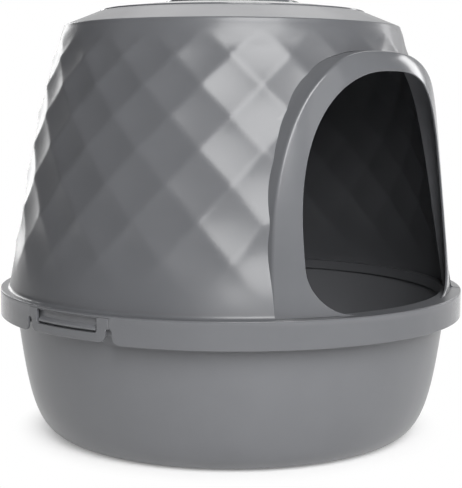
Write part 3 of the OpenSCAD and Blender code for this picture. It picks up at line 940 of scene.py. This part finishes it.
@dataclass
class Hood:
    """The hood: dished wall, shoulder and ramp, foot, shelf, tongue and skirt.

    Attributes:
        body: The shared sizes.
        facet_cols: Diamonds round the wall.
        dish_depth: Depth of a dish, from its ridges to its middle.
        facet_top_z: Height of the diamonds' top tips.
        facet_step: Height of the topmost half row of diamonds.
        facet_growth: How much taller each half row is than the one above.
        facet_turn: Angle by which the pattern is turned.
        fade_low_z: Height below which the wall is plain.
        fade_full_z: Height from which the dishes are at their full depth.
        fade_top_z: Height from which they fade out towards the top.
        fade_over: How far above the top tips the pattern ends.
        ridge_soft: Share of a diamond that rounds each ridge.
        col_steps: Columns of points to a diamond.
        row_step: Height between rows of points.
        foot_up: Height above the wall's foot at which the rows of points start.
        foot_fillet: Rounding between the wall's foot and the shelf.
        shoulder_r: Rounding of the wall's upper edge.
        shoulder_start: Angle at which that rounding starts.
        shoulder_tilt: Angle at which it turns into the ramp.
        lid_seat_r: Radius of the opening that the lid lies in.
        roof_z: Height of the roof at that opening.
        roof_edge: Size of the roof's bevel at the opening.
        ledge_w: Width of the ledge under the lid.
        ledge_t: Thickness of the ledge.
        ledge_edge: Size of the ledge's bevel.
        ledge_root: How far the ledge's underside runs out beyond the opening.
        lid_edge_t: Thickness of the lid's edge.
        tongue_h: How far the tongue reaches into the pan.
        tongue_t: Thickness of the tongue.
        tongue_r: Outer radius of the tongue.
        tongue_edge: Size of the tongue's bevels.
        skirt_edge_r: Rounding of the skirt's upper edge.
        skirt_under_z: Height at which the skirt starts below the shelf.
        shelf_w: Width of the shelf's rim over the skirt.
        notch_flare_r: Rounding of the skirt beside a notch.
        edge: Rounding of the skirt's edges.
    """

    body: Body
    facet_cols: int = 22
    dish_depth: float = 3.6
    facet_top_z: float = 425.0
    facet_step: float = 26.2
    facet_growth: float = 1.058
    facet_turn: float = 1.8
    fade_low_z: float = 163.0
    fade_full_z: float = 230.0
    fade_top_z: float = 402.0
    fade_over: float = 4.0
    ridge_soft: float = 0.035
    col_steps: int = 16
    row_step: float = 3.0
    foot_up: float = 1.0
    foot_fillet: float = 3.4
    shoulder_r: float = 2.4
    shoulder_start: float = 20.0
    shoulder_tilt: float = 72.0
    lid_seat_r: float = 142.3
    roof_z: float = 449.3
    roof_edge: float = 0.6
    ledge_w: float = 9.0
    ledge_t: float = 2.6
    ledge_edge: float = 0.5
    ledge_root: float = 1.0
    lid_edge_t: float = 2.8
    tongue_h: float = 8.0
    tongue_t: float = 2.4
    tongue_r: float = 231.28
    tongue_edge: float = 0.6
    skirt_edge_r: float = 0.8
    skirt_under_z: float = 154.4
    shelf_w: float = 14.0
    notch_flare_r: float = 8.0
    edge: float = 0.45

    def half_row(self, z: float) -> float:
        """Which half row of diamonds a height lies in.

        Args:
            z: Height above the floor.

        Returns:
            Number of half rows down from the top tips.
        """
        grown = 1.0 + (self.facet_top_z - z) * (self.facet_growth - 1.0) / self.facet_step
        return math.log(grown) / math.log(self.facet_growth)

    def dish(self, angle: float, z: float) -> float:
        """Depth of the dishes at a place on the wall.

        Args:
            angle: Angle of the place.
            z: Height above the floor.

        Returns:
            How far the face lies inside the plain wall.
        """
        end_z = self.facet_top_z + self.fade_over
        if z > end_z:
            return 0.0
        u = (angle - self.facet_turn) * self.facet_cols / FULL_TURN
        v = self.half_row(z)
        a = u + (v - 1.0) / 2.0
        b = u - (v - 1.0) / 2.0
        p = self.soft(a - math.floor(a) - 0.5)
        q = self.soft(b - math.floor(b) - 0.5)
        fade = ease(self.fade_low_z, self.fade_full_z, z) * (1.0 - ease(self.fade_top_z, end_z, z))
        return self.dish_depth * (1.0 - 2.0 * (p * p + q * q)) * fade

    def soft(self, offset: float) -> float:
        """Distance from a dish's middle line, eased near the ridge so that the ridge is round.

        Args:
            offset: Distance from the middle, from -0.5 to 0.5.

        Returns:
            The eased distance.
        """
        size = abs(offset)
        start = 0.5 - self.ridge_soft
        if size > start:
            over = (size - start) / self.ridge_soft
            size = start + self.ridge_soft * (over - 0.5 * over * over)
        return size

    @property
    def column_angles(self) -> list[float]:
        """Angles of the wall's columns of points."""
        count = self.facet_cols * self.col_steps
        return [FULL_TURN * i / count + self.facet_turn for i in range(count)]

    @property
    def row_heights(self) -> list[float]:
        """Heights of the wall's rows of points.

        Returns:
            The heights, from the foot up.
        """
        low = self.body.wall_foot_z + self.foot_up
        reach = self.body.wall_top_z - low
        count = round(reach / self.row_step)
        return [low + reach * i / count for i in range(count + 1)]

    def foot_line(self) -> list[Point]:
        """Line from the skirt's start, round its upper edge and in to the wall's foot.

        Returns:
            Radius and height of each point.
        """
        body = self.body
        out, top, edge, fillet = body.skirt_r, body.shelf_top_z, self.skirt_edge_r, self.foot_fillet
        return [(out - body.skirt_t, self.skirt_under_z), (out, self.skirt_under_z),
                *arc((out - edge, top - edge), edge, 0, 90, 5),
                *arc((body.wall_foot_r + fillet, top + fillet), fillet, -90, -172, 6)]

    def crown_line(self) -> list[Point]:
        """Line from the wall's top over shoulder and ramp, round the ledge and back under the roof.

        Returns:
            Radius and height of each point.
        """
        body = self.body
        seat_z = self.roof_z - self.lid_edge_t - body.seat_gap
        shoulder = body.wall_top_r - self.shoulder_r
        seat_r = self.lid_seat_r
        ledge_r = seat_r - self.ledge_w
        return [*arc((shoulder, body.wall_top_z), self.shoulder_r, self.shoulder_start,
                     self.shoulder_tilt, 6),
                (seat_r + self.roof_edge, self.roof_z), (seat_r, self.roof_z - self.roof_edge),
                (seat_r, seat_z), (ledge_r + self.ledge_edge, seat_z),
                (ledge_r, seat_z - self.ledge_edge), (ledge_r, seat_z - self.ledge_t),
                (seat_r + self.ledge_root, seat_z - self.ledge_t),
                (shoulder - body.wall_t, body.wall_top_z + self.shoulder_r - body.wall_t)]

    def tongue_line(self) -> list[Point]:
        """Line from the wall's foot inside, round the tongue and out under the shelf.

        Returns:
            Radius and height of each point.
        """
        body = self.body
        near, far = self.tongue_r - self.tongue_t, self.tongue_r
        low = body.pan_rim_z - self.tongue_h
        bevel = self.tongue_edge
        rim = body.skirt_r - self.shelf_w
        return [(body.wall_foot_r - body.wall_t, body.shelf_top_z), (near, body.shelf_top_z),
                (near, low + bevel), (near + bevel, low), (far - bevel, low), (far, low + bevel),
                (far, body.shelf_z), (rim, body.shelf_z), (rim, self.skirt_under_z)]

    def build_wall(self) -> bpy.types.Object:
        """Builds wall, crown, foot, shelf and tongue as one closed form.

        Returns:
            The new object.
        """
        body = self.body
        angles = self.column_angles
        heights = self.row_heights
        outer = [[around(a, body.wall_r(z) - self.dish(a, z), z) for a in angles] for z in heights]
        inner = [[around(a, body.wall_r(z) - body.wall_t - self.dish(a, z), z) for a in angles]
                 for z in reversed(heights[1:-1])]
        foot, crown, tongue = [[[around(a, r, z) for a in angles] for r, z in line]
                               for line in (self.foot_line(), self.crown_line(), self.tongue_line())]
        shape = Shape()
        shape.grid([*foot, *outer, *crown, *inner, *tongue], wrap_u=True, wrap_v=True)
        return shape.build("hood_wall", 60.0)

    def notch_side(self, edge: float) -> list[Point]:
        """Line from a notch's middle down its side and round the flare to the skirt's lower edge.

        Args:
            edge: Distance of the notch's middle along the skirt.

        Returns:
            The points.
        """
        body = self.body
        side, flare = body.notch_half_w, self.notch_flare_r
        return [*arc((edge, body.skirt_z + body.notch_h - side), side, 90, 0, 8),
                *arc((edge + side + flare, body.skirt_z + flare), flare, 180, 270, 6)]

    def skirt_outline(self, start: float, end: float) -> list[Point]:
        """Outline of one part of the skirt, unrolled: millimetres along the skirt, and height.

        Args:
            start: Angle at which it starts, at a loop's side.
            end: Angle at which it ends, at the other loop's side.

        Returns:
            The outline's points.
        """
        scale = math.radians(1.0) * self.body.skirt_r
        low, high = start * scale, end * scale
        far_side = [(2 * high - x, z) for x, z in reversed(self.notch_side(high))]
        return [(low, self.skirt_under_z), *self.notch_side(low), *far_side,
                (high, self.skirt_under_z)]

    def build_skirt(self) -> bpy.types.Object:
        """Builds the skirt's front and rear part as one piece.

        Returns:
            The new object.
        """
        body = self.body
        shape = Shape()
        half = math.degrees(math.asin(body.loop_half_w / body.skirt_r))
        step = math.radians(FULL_TURN / len(self.column_angles)) * body.skirt_r

        def place(along: float, z: float, depth: float) -> Spot:
            """Point of the skirt, for millimetres along it, height and depth below its face."""
            return around(math.degrees(along / body.skirt_r), body.skirt_r - depth, z)

        for start, end in ((-body.loop_angle + half, body.loop_angle - half),
                           (body.loop_angle + half, FULL_TURN - body.loop_angle - half)):
            outline = self.skirt_outline(start, end)
            Plate(outline, [], body.skirt_t, self.edge, step, self.skirt_under_z).lay(shape, place)
        return shape.build("hood_skirt")


@dataclass
class SnapLoop:
    """One loop of the skirt round its window, which flexes over the pan's catch.

    Attributes:
        body: The shared sizes.
        side: -1 for the left loop, 1 for the right one.
        lift: How far its lower edge lies above the skirt's.
        window_half_w: Half the width of the window.
        rail_h: Height of the rail under the window.
        lintel_h: Height of the edge over the window.
        corner_r: Rounding of the loop's lower corners.
        window_corner_r: Rounding of the window's lower corners.
        lintel_corner_r: Rounding of its upper corners.
        gap: Gap between the loop and the skirt's two parts above the notches.
        edge: Rounding of the edges.
        step: Distance between the cuts that bend the loop.
    """

    body: Body
    side: int
    lift: float = 1.8
    window_half_w: float = 41.5
    rail_h: float = 8.6
    lintel_h: float = 0.6
    corner_r: float = 8.0
    window_corner_r: float = 3.0
    lintel_corner_r: float = 0.4
    gap: float = 0.15
    edge: float = 0.45
    step: float = 3.0

    def outline(self) -> list[Point]:
        """Outline of the loop, across and up.

        Returns:
            The points.
        """
        body = self.body
        low = body.skirt_z + self.lift
        edge = body.loop_half_w - self.gap
        notch_z = body.skirt_z + body.notch_h - body.notch_half_w
        corner = (edge - body.notch_half_w - self.corner_r, low + self.corner_r)
        half = [*arc(corner, self.corner_r, -90, 0, 8),
                *arc((edge, notch_z), body.notch_half_w, 180, 90, 8), (edge, body.shelf_z)]
        return [*half, *[(-x, z) for x, z in reversed(half)]]

    def place(self, x: float, z: float, depth: float) -> Spot:
        """Point of the loop in the part's frame.

        Args:
            x: Distance across from its middle.
            z: Height above the floor.
            depth: How far it lies below the face.

        Returns:
            The point.
        """
        out = self.body.skirt_r
        turn = math.degrees(math.asin(x / out))
        return around(self.side * self.body.loop_angle + turn, out - depth, z)

    def build(self) -> bpy.types.Object:
        """Builds the loop's mesh.

        Returns:
            The new object.
        """
        body = self.body
        side, r, top_r = self.window_half_w, self.window_corner_r, self.lintel_corner_r
        sill = body.skirt_z + self.lift + self.rail_h
        lintel = body.shelf_z - self.lintel_h
        window = rounded([(-side, sill, r), (side, sill, r), (side, lintel, top_r),
                          (-side, lintel, top_r)], 6)
        shape = Shape()
        plate = Plate(self.outline(), [window], body.skirt_t, self.edge, self.step, body.shelf_z)
        plate.lay(shape, self.place)
        piece = shape.build("left_loop_frame" if self.side < 0 else "right_loop_frame")
        even_normals(piece)
        return piece


@dataclass
class Surround:
    """The doorway's surround: a proud face with round edges, and its side walls.

    Attributes:
        body: The shared sizes.
        open_half_w: Half the width of the doorway.
        open_top_z: Height of the doorway's top.
        open_spring_z: Height at which its arch starts.
        open_power: Squareness of its arch.
        open_corner_r: Rounding of its lower corners.
        half_w: Half the surround's width at its foot.
        side_lean: Lean of its sides.
        spring_up: Height above the shelf at which its arch starts.
        top_z: Height of its top.
        power: Squareness of its arch.
        thick: Thickness of its face and walls.
        face_foot_r: Radius of its face at the foot.
        face_lean: Lean of the face.
        face_round_z: Height from which the face rounds back.
        face_round_h: Height of that rounding.
        face_round_r: Depth of that rounding.
        foot_gap: Gap under its foot.
        behind: How far its side walls reach behind the hood's face.
        edge_out: Rounding of the outer edge.
        edge_in: Rounding of the doorway's edges.
        arch_steps: Pieces of half an arch.
        side_steps: Pieces of the outer side wall.
        round_steps: Pieces of each rounding.
        face_steps: Pieces of the face.
        back_steps: Pieces of the face's back.
        tool_sink: How far the wall's cut-out reaches into the shelf.
        tool_reach: Distances from the axis between which the cut-out runs.
        tool_points: Points round the cut-out.
    """

    body: Body
    open_half_w: float = 117.2
    open_top_z: float = 385.4
    open_spring_z: float = 204.0
    open_power: float = 2.66
    open_corner_r: float = 45.0
    half_w: float = 146.4
    side_lean: float = 0.056
    spring_up: float = 4.0
    top_z: float = 405.0
    power: float = 3.0
    thick: float = 2.8
    face_foot_r: float = 238.4
    face_lean: float = 0.1
    face_round_z: float = 372.0
    face_round_h: float = 40.0
    face_round_r: float = 22.0
    foot_gap: float = 0.1
    behind: float = 8.7
    edge_out: float = 1.5
    edge_in: float = 1.1
    arch_steps: int = 96
    side_steps: int = 2
    round_steps: int = 5
    face_steps: int = 8
    back_steps: int = 5
    tool_sink: float = 0.2
    tool_reach: Point = (20.0, 290.0)
    tool_points: int = 150

    @property
    def seen_steps(self) -> int:
        """Pieces of a cross-section that are seen from outside: side wall, face and roundings."""
        return self.side_steps + 3 * self.round_steps + self.face_steps + 1

    def face_r(self, z: float) -> float:
        """Radius of the face.

        Args:
            z: Height above the floor.

        Returns:
            The radius.
        """
        u = min(1.0, max(0.0, (z - self.face_round_z) / self.face_round_h))
        return (self.face_foot_r - self.face_lean * (z - self.body.wall_foot_z)
                - self.face_round_r * (1.0 - math.sqrt(max(0.0, 1.0 - u * u))))

    def arch(self, half_w: float, spring: float, top: float, power: float) -> list[Point]:
        """Right-hand half of an arch, from its springing to its top.

        Args:
            half_w: Half its width.
            spring: Height of its springing.
            top: Height of its top.
            power: Squareness.

        Returns:
            The points.
        """
        line = []
        for i in range(self.arch_steps + 1):
            a = math.radians(90.0 * i / self.arch_steps)
            across = half_w * max(0.0, math.cos(a)) ** (2.0 / power)
            line.append((across, spring + (top - spring) * math.sin(a) ** (2.0 / power)))
        return line

    def outer_line(self, grow: float, foot: float) -> list[Point]:
        """Outline of the surround from its right foot over the top to its left foot.

        Args:
            grow: How far the outline is grown.
            foot: Height of its foot.

        Returns:
            The points.
        """
        spring = self.body.shelf_top_z + self.spring_up
        arch = self.arch(1.0, spring, self.top_z + grow, self.power)
        half = [(self.half_w + grow, foot),
                *[(x * (self.half_w - self.side_lean * (z - spring) + grow), z) for x, z in arch]]
        return [*half, *[(-x, z) for x, z in reversed(half[:-1])]]

    def inner_line(self) -> list[Point]:
        """Outline of the doorway, in the same order.

        Returns:
            The points.
        """
        foot = self.body.shelf_top_z
        r = self.open_corner_r
        half = [*arc((self.open_half_w - r, foot + r), r, -90, 0, 14),
                *self.arch(self.open_half_w, self.open_spring_z, self.open_top_z, self.open_power)[1:]]
        return [*half, *[(-x, z) for x, z in reversed(half[:-1])]]

    @staticmethod
    def spread(line: Sequence[Point], count: int) -> list[Point]:
        """Points evenly spread along a line.

        Args:
            line: The line.
            count: Number of points.

        Returns:
            The points.
        """
        lengths = [0.0]
        for a, b in zip(line, line[1:]):
            lengths.append(lengths[-1] + math.dist(a, b))
        found, k = [], 0
        for i in range(count):
            want = lengths[-1] * i / (count - 1)
            while k < len(line) - 2 and lengths[k + 1] < want:
                k += 1
            span = lengths[k + 1] - lengths[k] or 1.0
            t = (want - lengths[k]) / span
            found.append((line[k][0] + (line[k + 1][0] - line[k][0]) * t,
                          line[k][1] + (line[k + 1][1] - line[k][1]) * t))
        return found

    @staticmethod
    def at(place: Vector, r: float) -> Spot:
        """Point in the part's frame of a place seen from the front.

        Args:
            place: The place, across and up.
            r: Its distance from the axis.

        Returns:
            The point.
        """
        return (place.x, -math.sqrt(max(1.0, r * r - place.x * place.x)), place.y)

    def on_face(self, place: Vector, depth: float) -> Spot:
        """Point at a depth below the surround's face.

        Args:
            place: The place, across and up.
            depth: How far it lies below the face.

        Returns:
            The point in the part's frame.
        """
        return self.at(place, self.face_r(place.y) - depth)

    @staticmethod
    def way_in(line: Sequence[Point], k: int) -> Vector:
        """Way square to a line at one of its points, towards the line's inside.

        Args:
            line: The line.
            k: Number of the point.

        Returns:
            The way, level at the line's ends.
        """
        last = len(line) - 1
        along = Vector(line[min(k + 1, last)]) - Vector(line[max(k - 1, 0)])
        way = Vector((-along.y, along.x)).normalized()
        if k in (0, last):
            way.y = 0.0
            way.normalize()
        return way

    def build(self) -> bpy.types.Object:
        """Builds the surround's mesh.

        Returns:
            The new object.
        """
        foot = self.body.shelf_top_z + self.foot_gap
        count = 2 * self.arch_steps
        outer = self.spread(self.outer_line(0.0, foot), count)
        inner = [(x, max(z, foot)) for x, z in self.spread(self.inner_line(), count)]
        sections = [self.section(Vector(outer[k]), Vector(inner[k]), self.way_in(outer, k),
                                 self.way_in(inner, k)) for k in range(count)]
        seen = self.seen_steps
        shape = Shape()
        shape.grid([line[:seen + 1] for line in sections])
        # Back faces go in slot 1, which takes the darker hood finish: painted shade, as they are the
        # same plastic as the front.
        shape.grid([[*line[seen:], line[0]] for line in sections], slot=1)
        for end in (sections[0], sections[-1]):
            shape.add(end, [tuple(range(len(end)))])
        piece = shape.build("surround_frame")
        even_normals(piece)
        return piece

    def section(self, outer: Vector, inner: Vector, normal: Vector, inward: Vector) -> list[Spot]:
        """One cross-section of the surround.

        Args:
            outer: Place on the outer line.
            inner: Place on the doorway's line.
            normal: Way from the outer line into the face.
            inward: Way from the doorway's line into the doorway.

        Returns:
            The closed line of the cross-section: outer side wall, face, doorway's edge and back.
        """
        behind = self.body.wall_r(outer.y) - self.behind
        front = self.face_r(outer.y) - self.edge_out
        turns = [math.radians(90.0 * i / self.round_steps) for i in range(self.round_steps + 1)]
        start = outer + normal * self.edge_out
        end = inner - inward * self.edge_in
        wall = outer + normal * self.thick
        line = [self.at(outer, behind + (front - behind) * i / self.side_steps)
                for i in range(self.side_steps + 1)]
        line += [self.on_face(outer + normal * self.edge_out * (1.0 - math.cos(a)),
                              self.edge_out * (1.0 - math.sin(a))) for a in turns[1:]]
        line += [self.on_face(start.lerp(end, i / self.face_steps), 0.0)
                 for i in range(1, self.face_steps)]
        line += [self.on_face(inner - inward * self.edge_in * (1.0 - math.sin(a)),
                              self.edge_in * (1.0 - math.cos(a))) for a in turns]
        line += [self.on_face(inner - inward * self.edge_in * (1.0 - math.cos(a)),
                              self.thick - self.edge_in * (1.0 - math.sin(a))) for a in turns]
        line += [self.on_face(end.lerp(wall, i / self.back_steps), self.thick)
                 for i in range(1, self.back_steps + 1)]
        line.append(self.at(wall, self.body.wall_r(wall.y) - self.behind))
        return line

    def tool(self, gap: float) -> bpy.types.Object:
        """Closed form of the wall's cut-out, which the surround fills.

        Args:
            gap: Gap round the surround.

        Returns:
            The tool.
        """
        outline = self.outer_line(gap, self.body.shelf_top_z - self.tool_sink)
        line = self.spread(outline, self.tool_points)
        rows = [[(x, -y, z) for x, z in line] for y in reversed(self.tool_reach)]
        shape = Shape()
        shape.grid(rows, wrap_u=True)
        for row in rows:
            shape.add(row, [tuple(range(len(row)))])
        return shape.build("cut_out", 30.0)


@dataclass
class LidBead:
    """Raised bead along the lid's edge, which stiffens it and gives fingers a hold.

    Attributes:
        outer_r: Outer radius.
        width: Width at the top.
        flare: How much wider it is at its foot.
        low_z: Height of its foot.
        high_z: Height of its top.
        edge: Rounding of its upper edges.
        foot_edge: Rounding of its outer lower edge.
    """

    outer_r: float = 142.0
    width: float = 3.2
    flare: float = 1.2
    low_z: float = 448.6
    high_z: float = 450.8
    edge: float = 0.5
    foot_edge: float = 0.2

    def build(self) -> bpy.types.Object:
        """Builds the bead's mesh.

        Returns:
            The new object.
        """
        near = self.outer_r - self.width
        shape = Shape()
        shape.turn(rounded([(near - self.flare, self.low_z, 0.0),
                            (self.outer_r, self.low_z, self.foot_edge),
                            (self.outer_r, self.high_z, self.edge), (near, self.high_z, self.edge)]))
        return shape.build("lid_bead")


@dataclass(frozen=True)
class SoftBox:
    """One soft box of the studio.

    Attributes:
        name: Its name.
        azimuth: Angle to the right of the camera, seen from the litter box.
        elevation: Angle above the floor in degrees.
        away: Distance from the litter box in metres.
        size: Width and height in metres.
        power: Power in watts.
    """

    name: str
    azimuth: float
    elevation: float
    away: float
    size: Point
    power: float

    def hang(self, view: float, middle: Vector) -> None:
        """Hangs the soft box, aimed at the litter box.

        Args:
            view: Angle of the camera.
            middle: Middle of the litter box in metres.
        """
        data = bpy.data.lights.new(self.name, "AREA")
        data.shape = "RECTANGLE"
        data.size, data.size_y = self.size
        data.energy = self.power
        lamp = bpy.data.objects.new(self.name, data)
        a = math.radians(view + self.azimuth)
        e = math.radians(self.elevation)
        way = Vector((math.sin(a) * math.cos(e), -math.cos(a) * math.cos(e), math.sin(e)))
        lamp.location = middle + way * self.away
        lamp.rotation_mode = "QUATERNION"
        lamp.rotation_quaternion = (middle - lamp.location).to_track_quat("-Z", "Y")
        bpy.context.scene.collection.objects.link(lamp)


@dataclass
class Studio:
    """Floor, lamps and the camera at the photograph's place.

    Attributes:
        distance: Distance of the camera from the axis.
        height: Height of the camera.
        azimuth: Angle of the camera.
        pitch: Angle by which it looks down.
        roll: Angle by which it is tilted sideways.
        focal_px: Focal length in pixels of the photograph.
        frame_px: Width and height of the photograph.
        sensor: Width of the camera's sensor.
        middle: Place that the lamps are aimed at, in metres.
        floor_z: Height of the floor, just under the pan.
        floor_radii: Radii of the floor's rings.
        floor_parts: Pieces round each ring.
        paper: Colour of the floor.
        shadow_near: Distance from the axis, in metres, from which the shadow fades into white.
        shadow_far: Distance at which it has gone.
        glow: Share of white in the shadow itself.
        room: Strength of the dim part of the surroundings.
        backdrop: Strength of the bright wall behind the box.
        wall_edge: Cosines between which the dim part turns into the bright wall.
        lamps: The soft boxes.
    """

    distance: float = 1375.0
    height: float = 356.0
    azimuth: float = -47.3
    pitch: float = 6.5
    roll: float = 0.33
    focal_px: float = 1257.0
    frame_px: tuple[int, int] = (462, 488)
    sensor: float = 36.0
    middle: Spot = (0.0, 0.0, 0.22)
    floor_z: float = -0.2
    floor_radii: tuple[float, ...] = (0.0, 300.0, 900.0, 6000.0)
    floor_parts: int = 96
    paper: str = "F4F4F4"
    shadow_near: float = 0.175
    shadow_far: float = 0.24
    glow: float = 0.15
    room: float = 0.08
    backdrop: float = 1.0
    wall_edge: Point = (0.6, 0.9)
    lamps: tuple[SoftBox, ...] = (
        SoftBox("key", 14.0, 31.0, 2.4, (1.5, 1.7), 82.0),
        SoftBox("fill", 50.0, 20.0, 2.4, (0.9, 1.6), 6.0),
        SoftBox("left_rim", -148.0, 14.0, 2.2, (0.4, 1.4), 9.0),
        SoftBox("right_rim", 125.0, 14.0, 2.2, (0.4, 1.4), 10.0),
        SoftBox("roof", 180.0, 50.0, 2.4, (1.8, 1.2), 12.0),
    )

    @property
    def forward(self) -> Vector:
        """Level way that the camera looks."""
        a = math.radians(self.azimuth)
        return Vector((-math.sin(a), math.cos(a), 0.0))

    def camera(self) -> None:
        """Sets the camera where the photograph was taken from."""
        data = bpy.data.cameras.new("view")
        data.sensor_width = self.sensor
        data.lens = self.focal_px / max(self.frame_px) * self.sensor
        eye = bpy.data.objects.new("view", data)
        eye.location = (Vector((0.0, 0.0, self.height)) - self.forward * self.distance) * MM
        pitch = math.radians(self.pitch)
        look = self.forward * math.cos(pitch) - Vector((0.0, 0.0, math.sin(pitch)))
        eye.rotation_mode = "QUATERNION"
        eye.rotation_quaternion = (look.to_track_quat("-Z", "Y")
                                   @ Quaternion((0.0, 0.0, 1.0), math.radians(self.roll)))
        bpy.context.scene.collection.objects.link(eye)
        bpy.context.scene.camera = eye

    def light(self) -> None:
        """Lights the box as the photograph's studio does."""
        for lamp in self.lamps:
            lamp.hang(self.azimuth, Vector(self.middle))

    def world(self) -> None:
        """Makes the surroundings white for the camera, and dimmer for the light and reflections."""
        world = bpy.data.worlds.new("studio")
        bpy.context.scene.world = world
        tree = empty_tree(world)
        path = node(tree, "ShaderNodeLightPath")
        seen = node(tree, "ShaderNodeMath", {"operation": "MAXIMUM"},
                    {0: path.outputs["Is Camera Ray"], 1: path.outputs["Is Transmission Ray"]})
        ahead = node(tree, "ShaderNodeVectorMath", {"operation": "DOT_PRODUCT", 1: self.forward},
                     {0: node(tree, "ShaderNodeTexCoord").outputs["Generated"]})
        wall = node(tree, "ShaderNodeMapRange",
                    {"interpolation_type": "SMOOTHSTEP", "From Min": self.wall_edge[0],
                     "From Max": self.wall_edge[1], "To Min": self.room, "To Max": self.backdrop},
                    {"Value": ahead.outputs["Value"]})
        level = node(tree, "ShaderNodeMix", {"data_type": "FLOAT", MIX_NUMBERS[1]: 1.0},
                     {MIX_FACTOR: seen.outputs[0], MIX_NUMBERS[0]: wall.outputs["Result"]})
        sky = node(tree, "ShaderNodeBackground", {"Color": linear("FFFFFF")},
                   {"Strength": level.outputs[0]})
        node(tree, "ShaderNodeOutputWorld", {}, {"Surface": sky.outputs["Background"]})

    def floor(self) -> None:
        """Lays a white floor that fades into the background, but keeps the box's shadow."""
        shape = Shape()
        shape.turn([(r, self.floor_z) for r in self.floor_radii], self.floor_parts, closed=False)
        ground = shape.build("floor")
        material = bpy.data.materials.new("white_paper_sweep")
        tree = empty_tree(material)
        paper = node(tree, "ShaderNodeBsdfDiffuse", {"Color": linear(self.paper)})
        away = node(tree, "ShaderNodeVectorMath", {"operation": "LENGTH"},
                    {0: node(tree, "ShaderNodeTexCoord").outputs["Object"]})
        fade = node(tree, "ShaderNodeMapRange",
                    {"interpolation_type": "SMOOTHSTEP", "From Min": self.shadow_near,
                     "From Max": self.shadow_far, "To Min": self.glow, "To Max": 1.0},
                    {"Value": away.outputs["Value"]})
        path = node(tree, "ShaderNodeLightPath")
        seen = node(tree, "ShaderNodeMath", {"operation": "MAXIMUM"},
                    {0: path.outputs["Is Camera Ray"], 1: path.outputs["Is Glossy Ray"]})
        share = node(tree, "ShaderNodeMath", {"operation": "MULTIPLY"},
                     {0: fade.outputs["Result"], 1: seen.outputs[0]})
        white = node(tree, "ShaderNodeEmission", {"Color": linear("FFFFFF"), "Strength": 1.0})
        both = node(tree, "ShaderNodeMixShader", {},
                    {0: share.outputs[0], 1: paper.outputs["BSDF"], 2: white.outputs["Emission"]})
        node(tree, "ShaderNodeOutputMaterial", {}, {"Surface": both.outputs["Shader"]})
        ground.data.materials.append(material)


def settle(piece: bpy.types.Object, body: str, slot: str, *nodes: str) -> None:
    """Says which body a piece moves with, and hides the CAD nodes that it stands for.

    Args:
        piece: The object.
        body: Body that it rides on.
        slot: Not used.
        nodes: CAD nodes that it replaces.
    """
    if nodes:
        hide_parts(*nodes)
    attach(piece, body)
    LOG.info("%s rides on %s", piece.name, body)


def main() -> None:
    """Loads the frame, then builds, dresses and settles each piece."""
    logging.basicConfig(level=logging.INFO, format="%(message)s")
    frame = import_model()
    paint = Paintbox()
    studio = Studio()
    studio.camera()
    body = Body()

    pan = Pan(body).build()
    paint.dress(pan, Skin.PAN)
    settle(pan, "pan", "pan_plastic", "litter_pan")

    hood = Hood(body)
    surround = Surround(body)
    wall = hood.build_wall()
    cut(wall, surround.tool(gap=SURROUND_GAP))
    smooth(wall, sharp=40.0)
    paint.dress(wall, Skin.HOOD)
    settle(wall, "hood", "hood_plastic", "hood_shell")
    skirt = hood.build_skirt()
    even_normals(skirt)
    paint.dress(skirt, Skin.TRIM)
    settle(skirt, "hood", "trim_plastic", "hood_shell")

    arch = surround.build()
    # The surround's back faces take the darker hood finish: painted shade inside the doorway, on what
    # is the same plastic as its front.
    paint.dress(arch, Skin.TRIM, Skin.HOOD)
    settle(arch, "hood", "trim_plastic", "entry_surround")

    for side, name in ((-1, "left"), (1, "right")):
        loop = SnapLoop(body, side).build()
        paint.dress(loop, Skin.TRIM)
        settle(loop, name + "_loop", "trim_plastic", name + "_snap_loop")

    bead = LidBead().build()
    paint.dress(bead, Skin.LID)
    settle(bead, "lid", "lid_plastic")

    for name, skin in (("roof_lid", Skin.LID), ("lid_handle", Skin.HANDLE),
                       ("filter_tray", Skin.TRAY), ("charcoal_filter", Skin.FOAM)):
        for slot in frame["nodes"][name].material_slots:
            slot.material = paint.get(skin)
        LOG.info("%s keeps its own form", name)

    studio.light()
    studio.world()
    studio.floor()
    bpy.context.scene.view_settings.view_transform = "Standard"


if __name__ == "__main__":
    main()
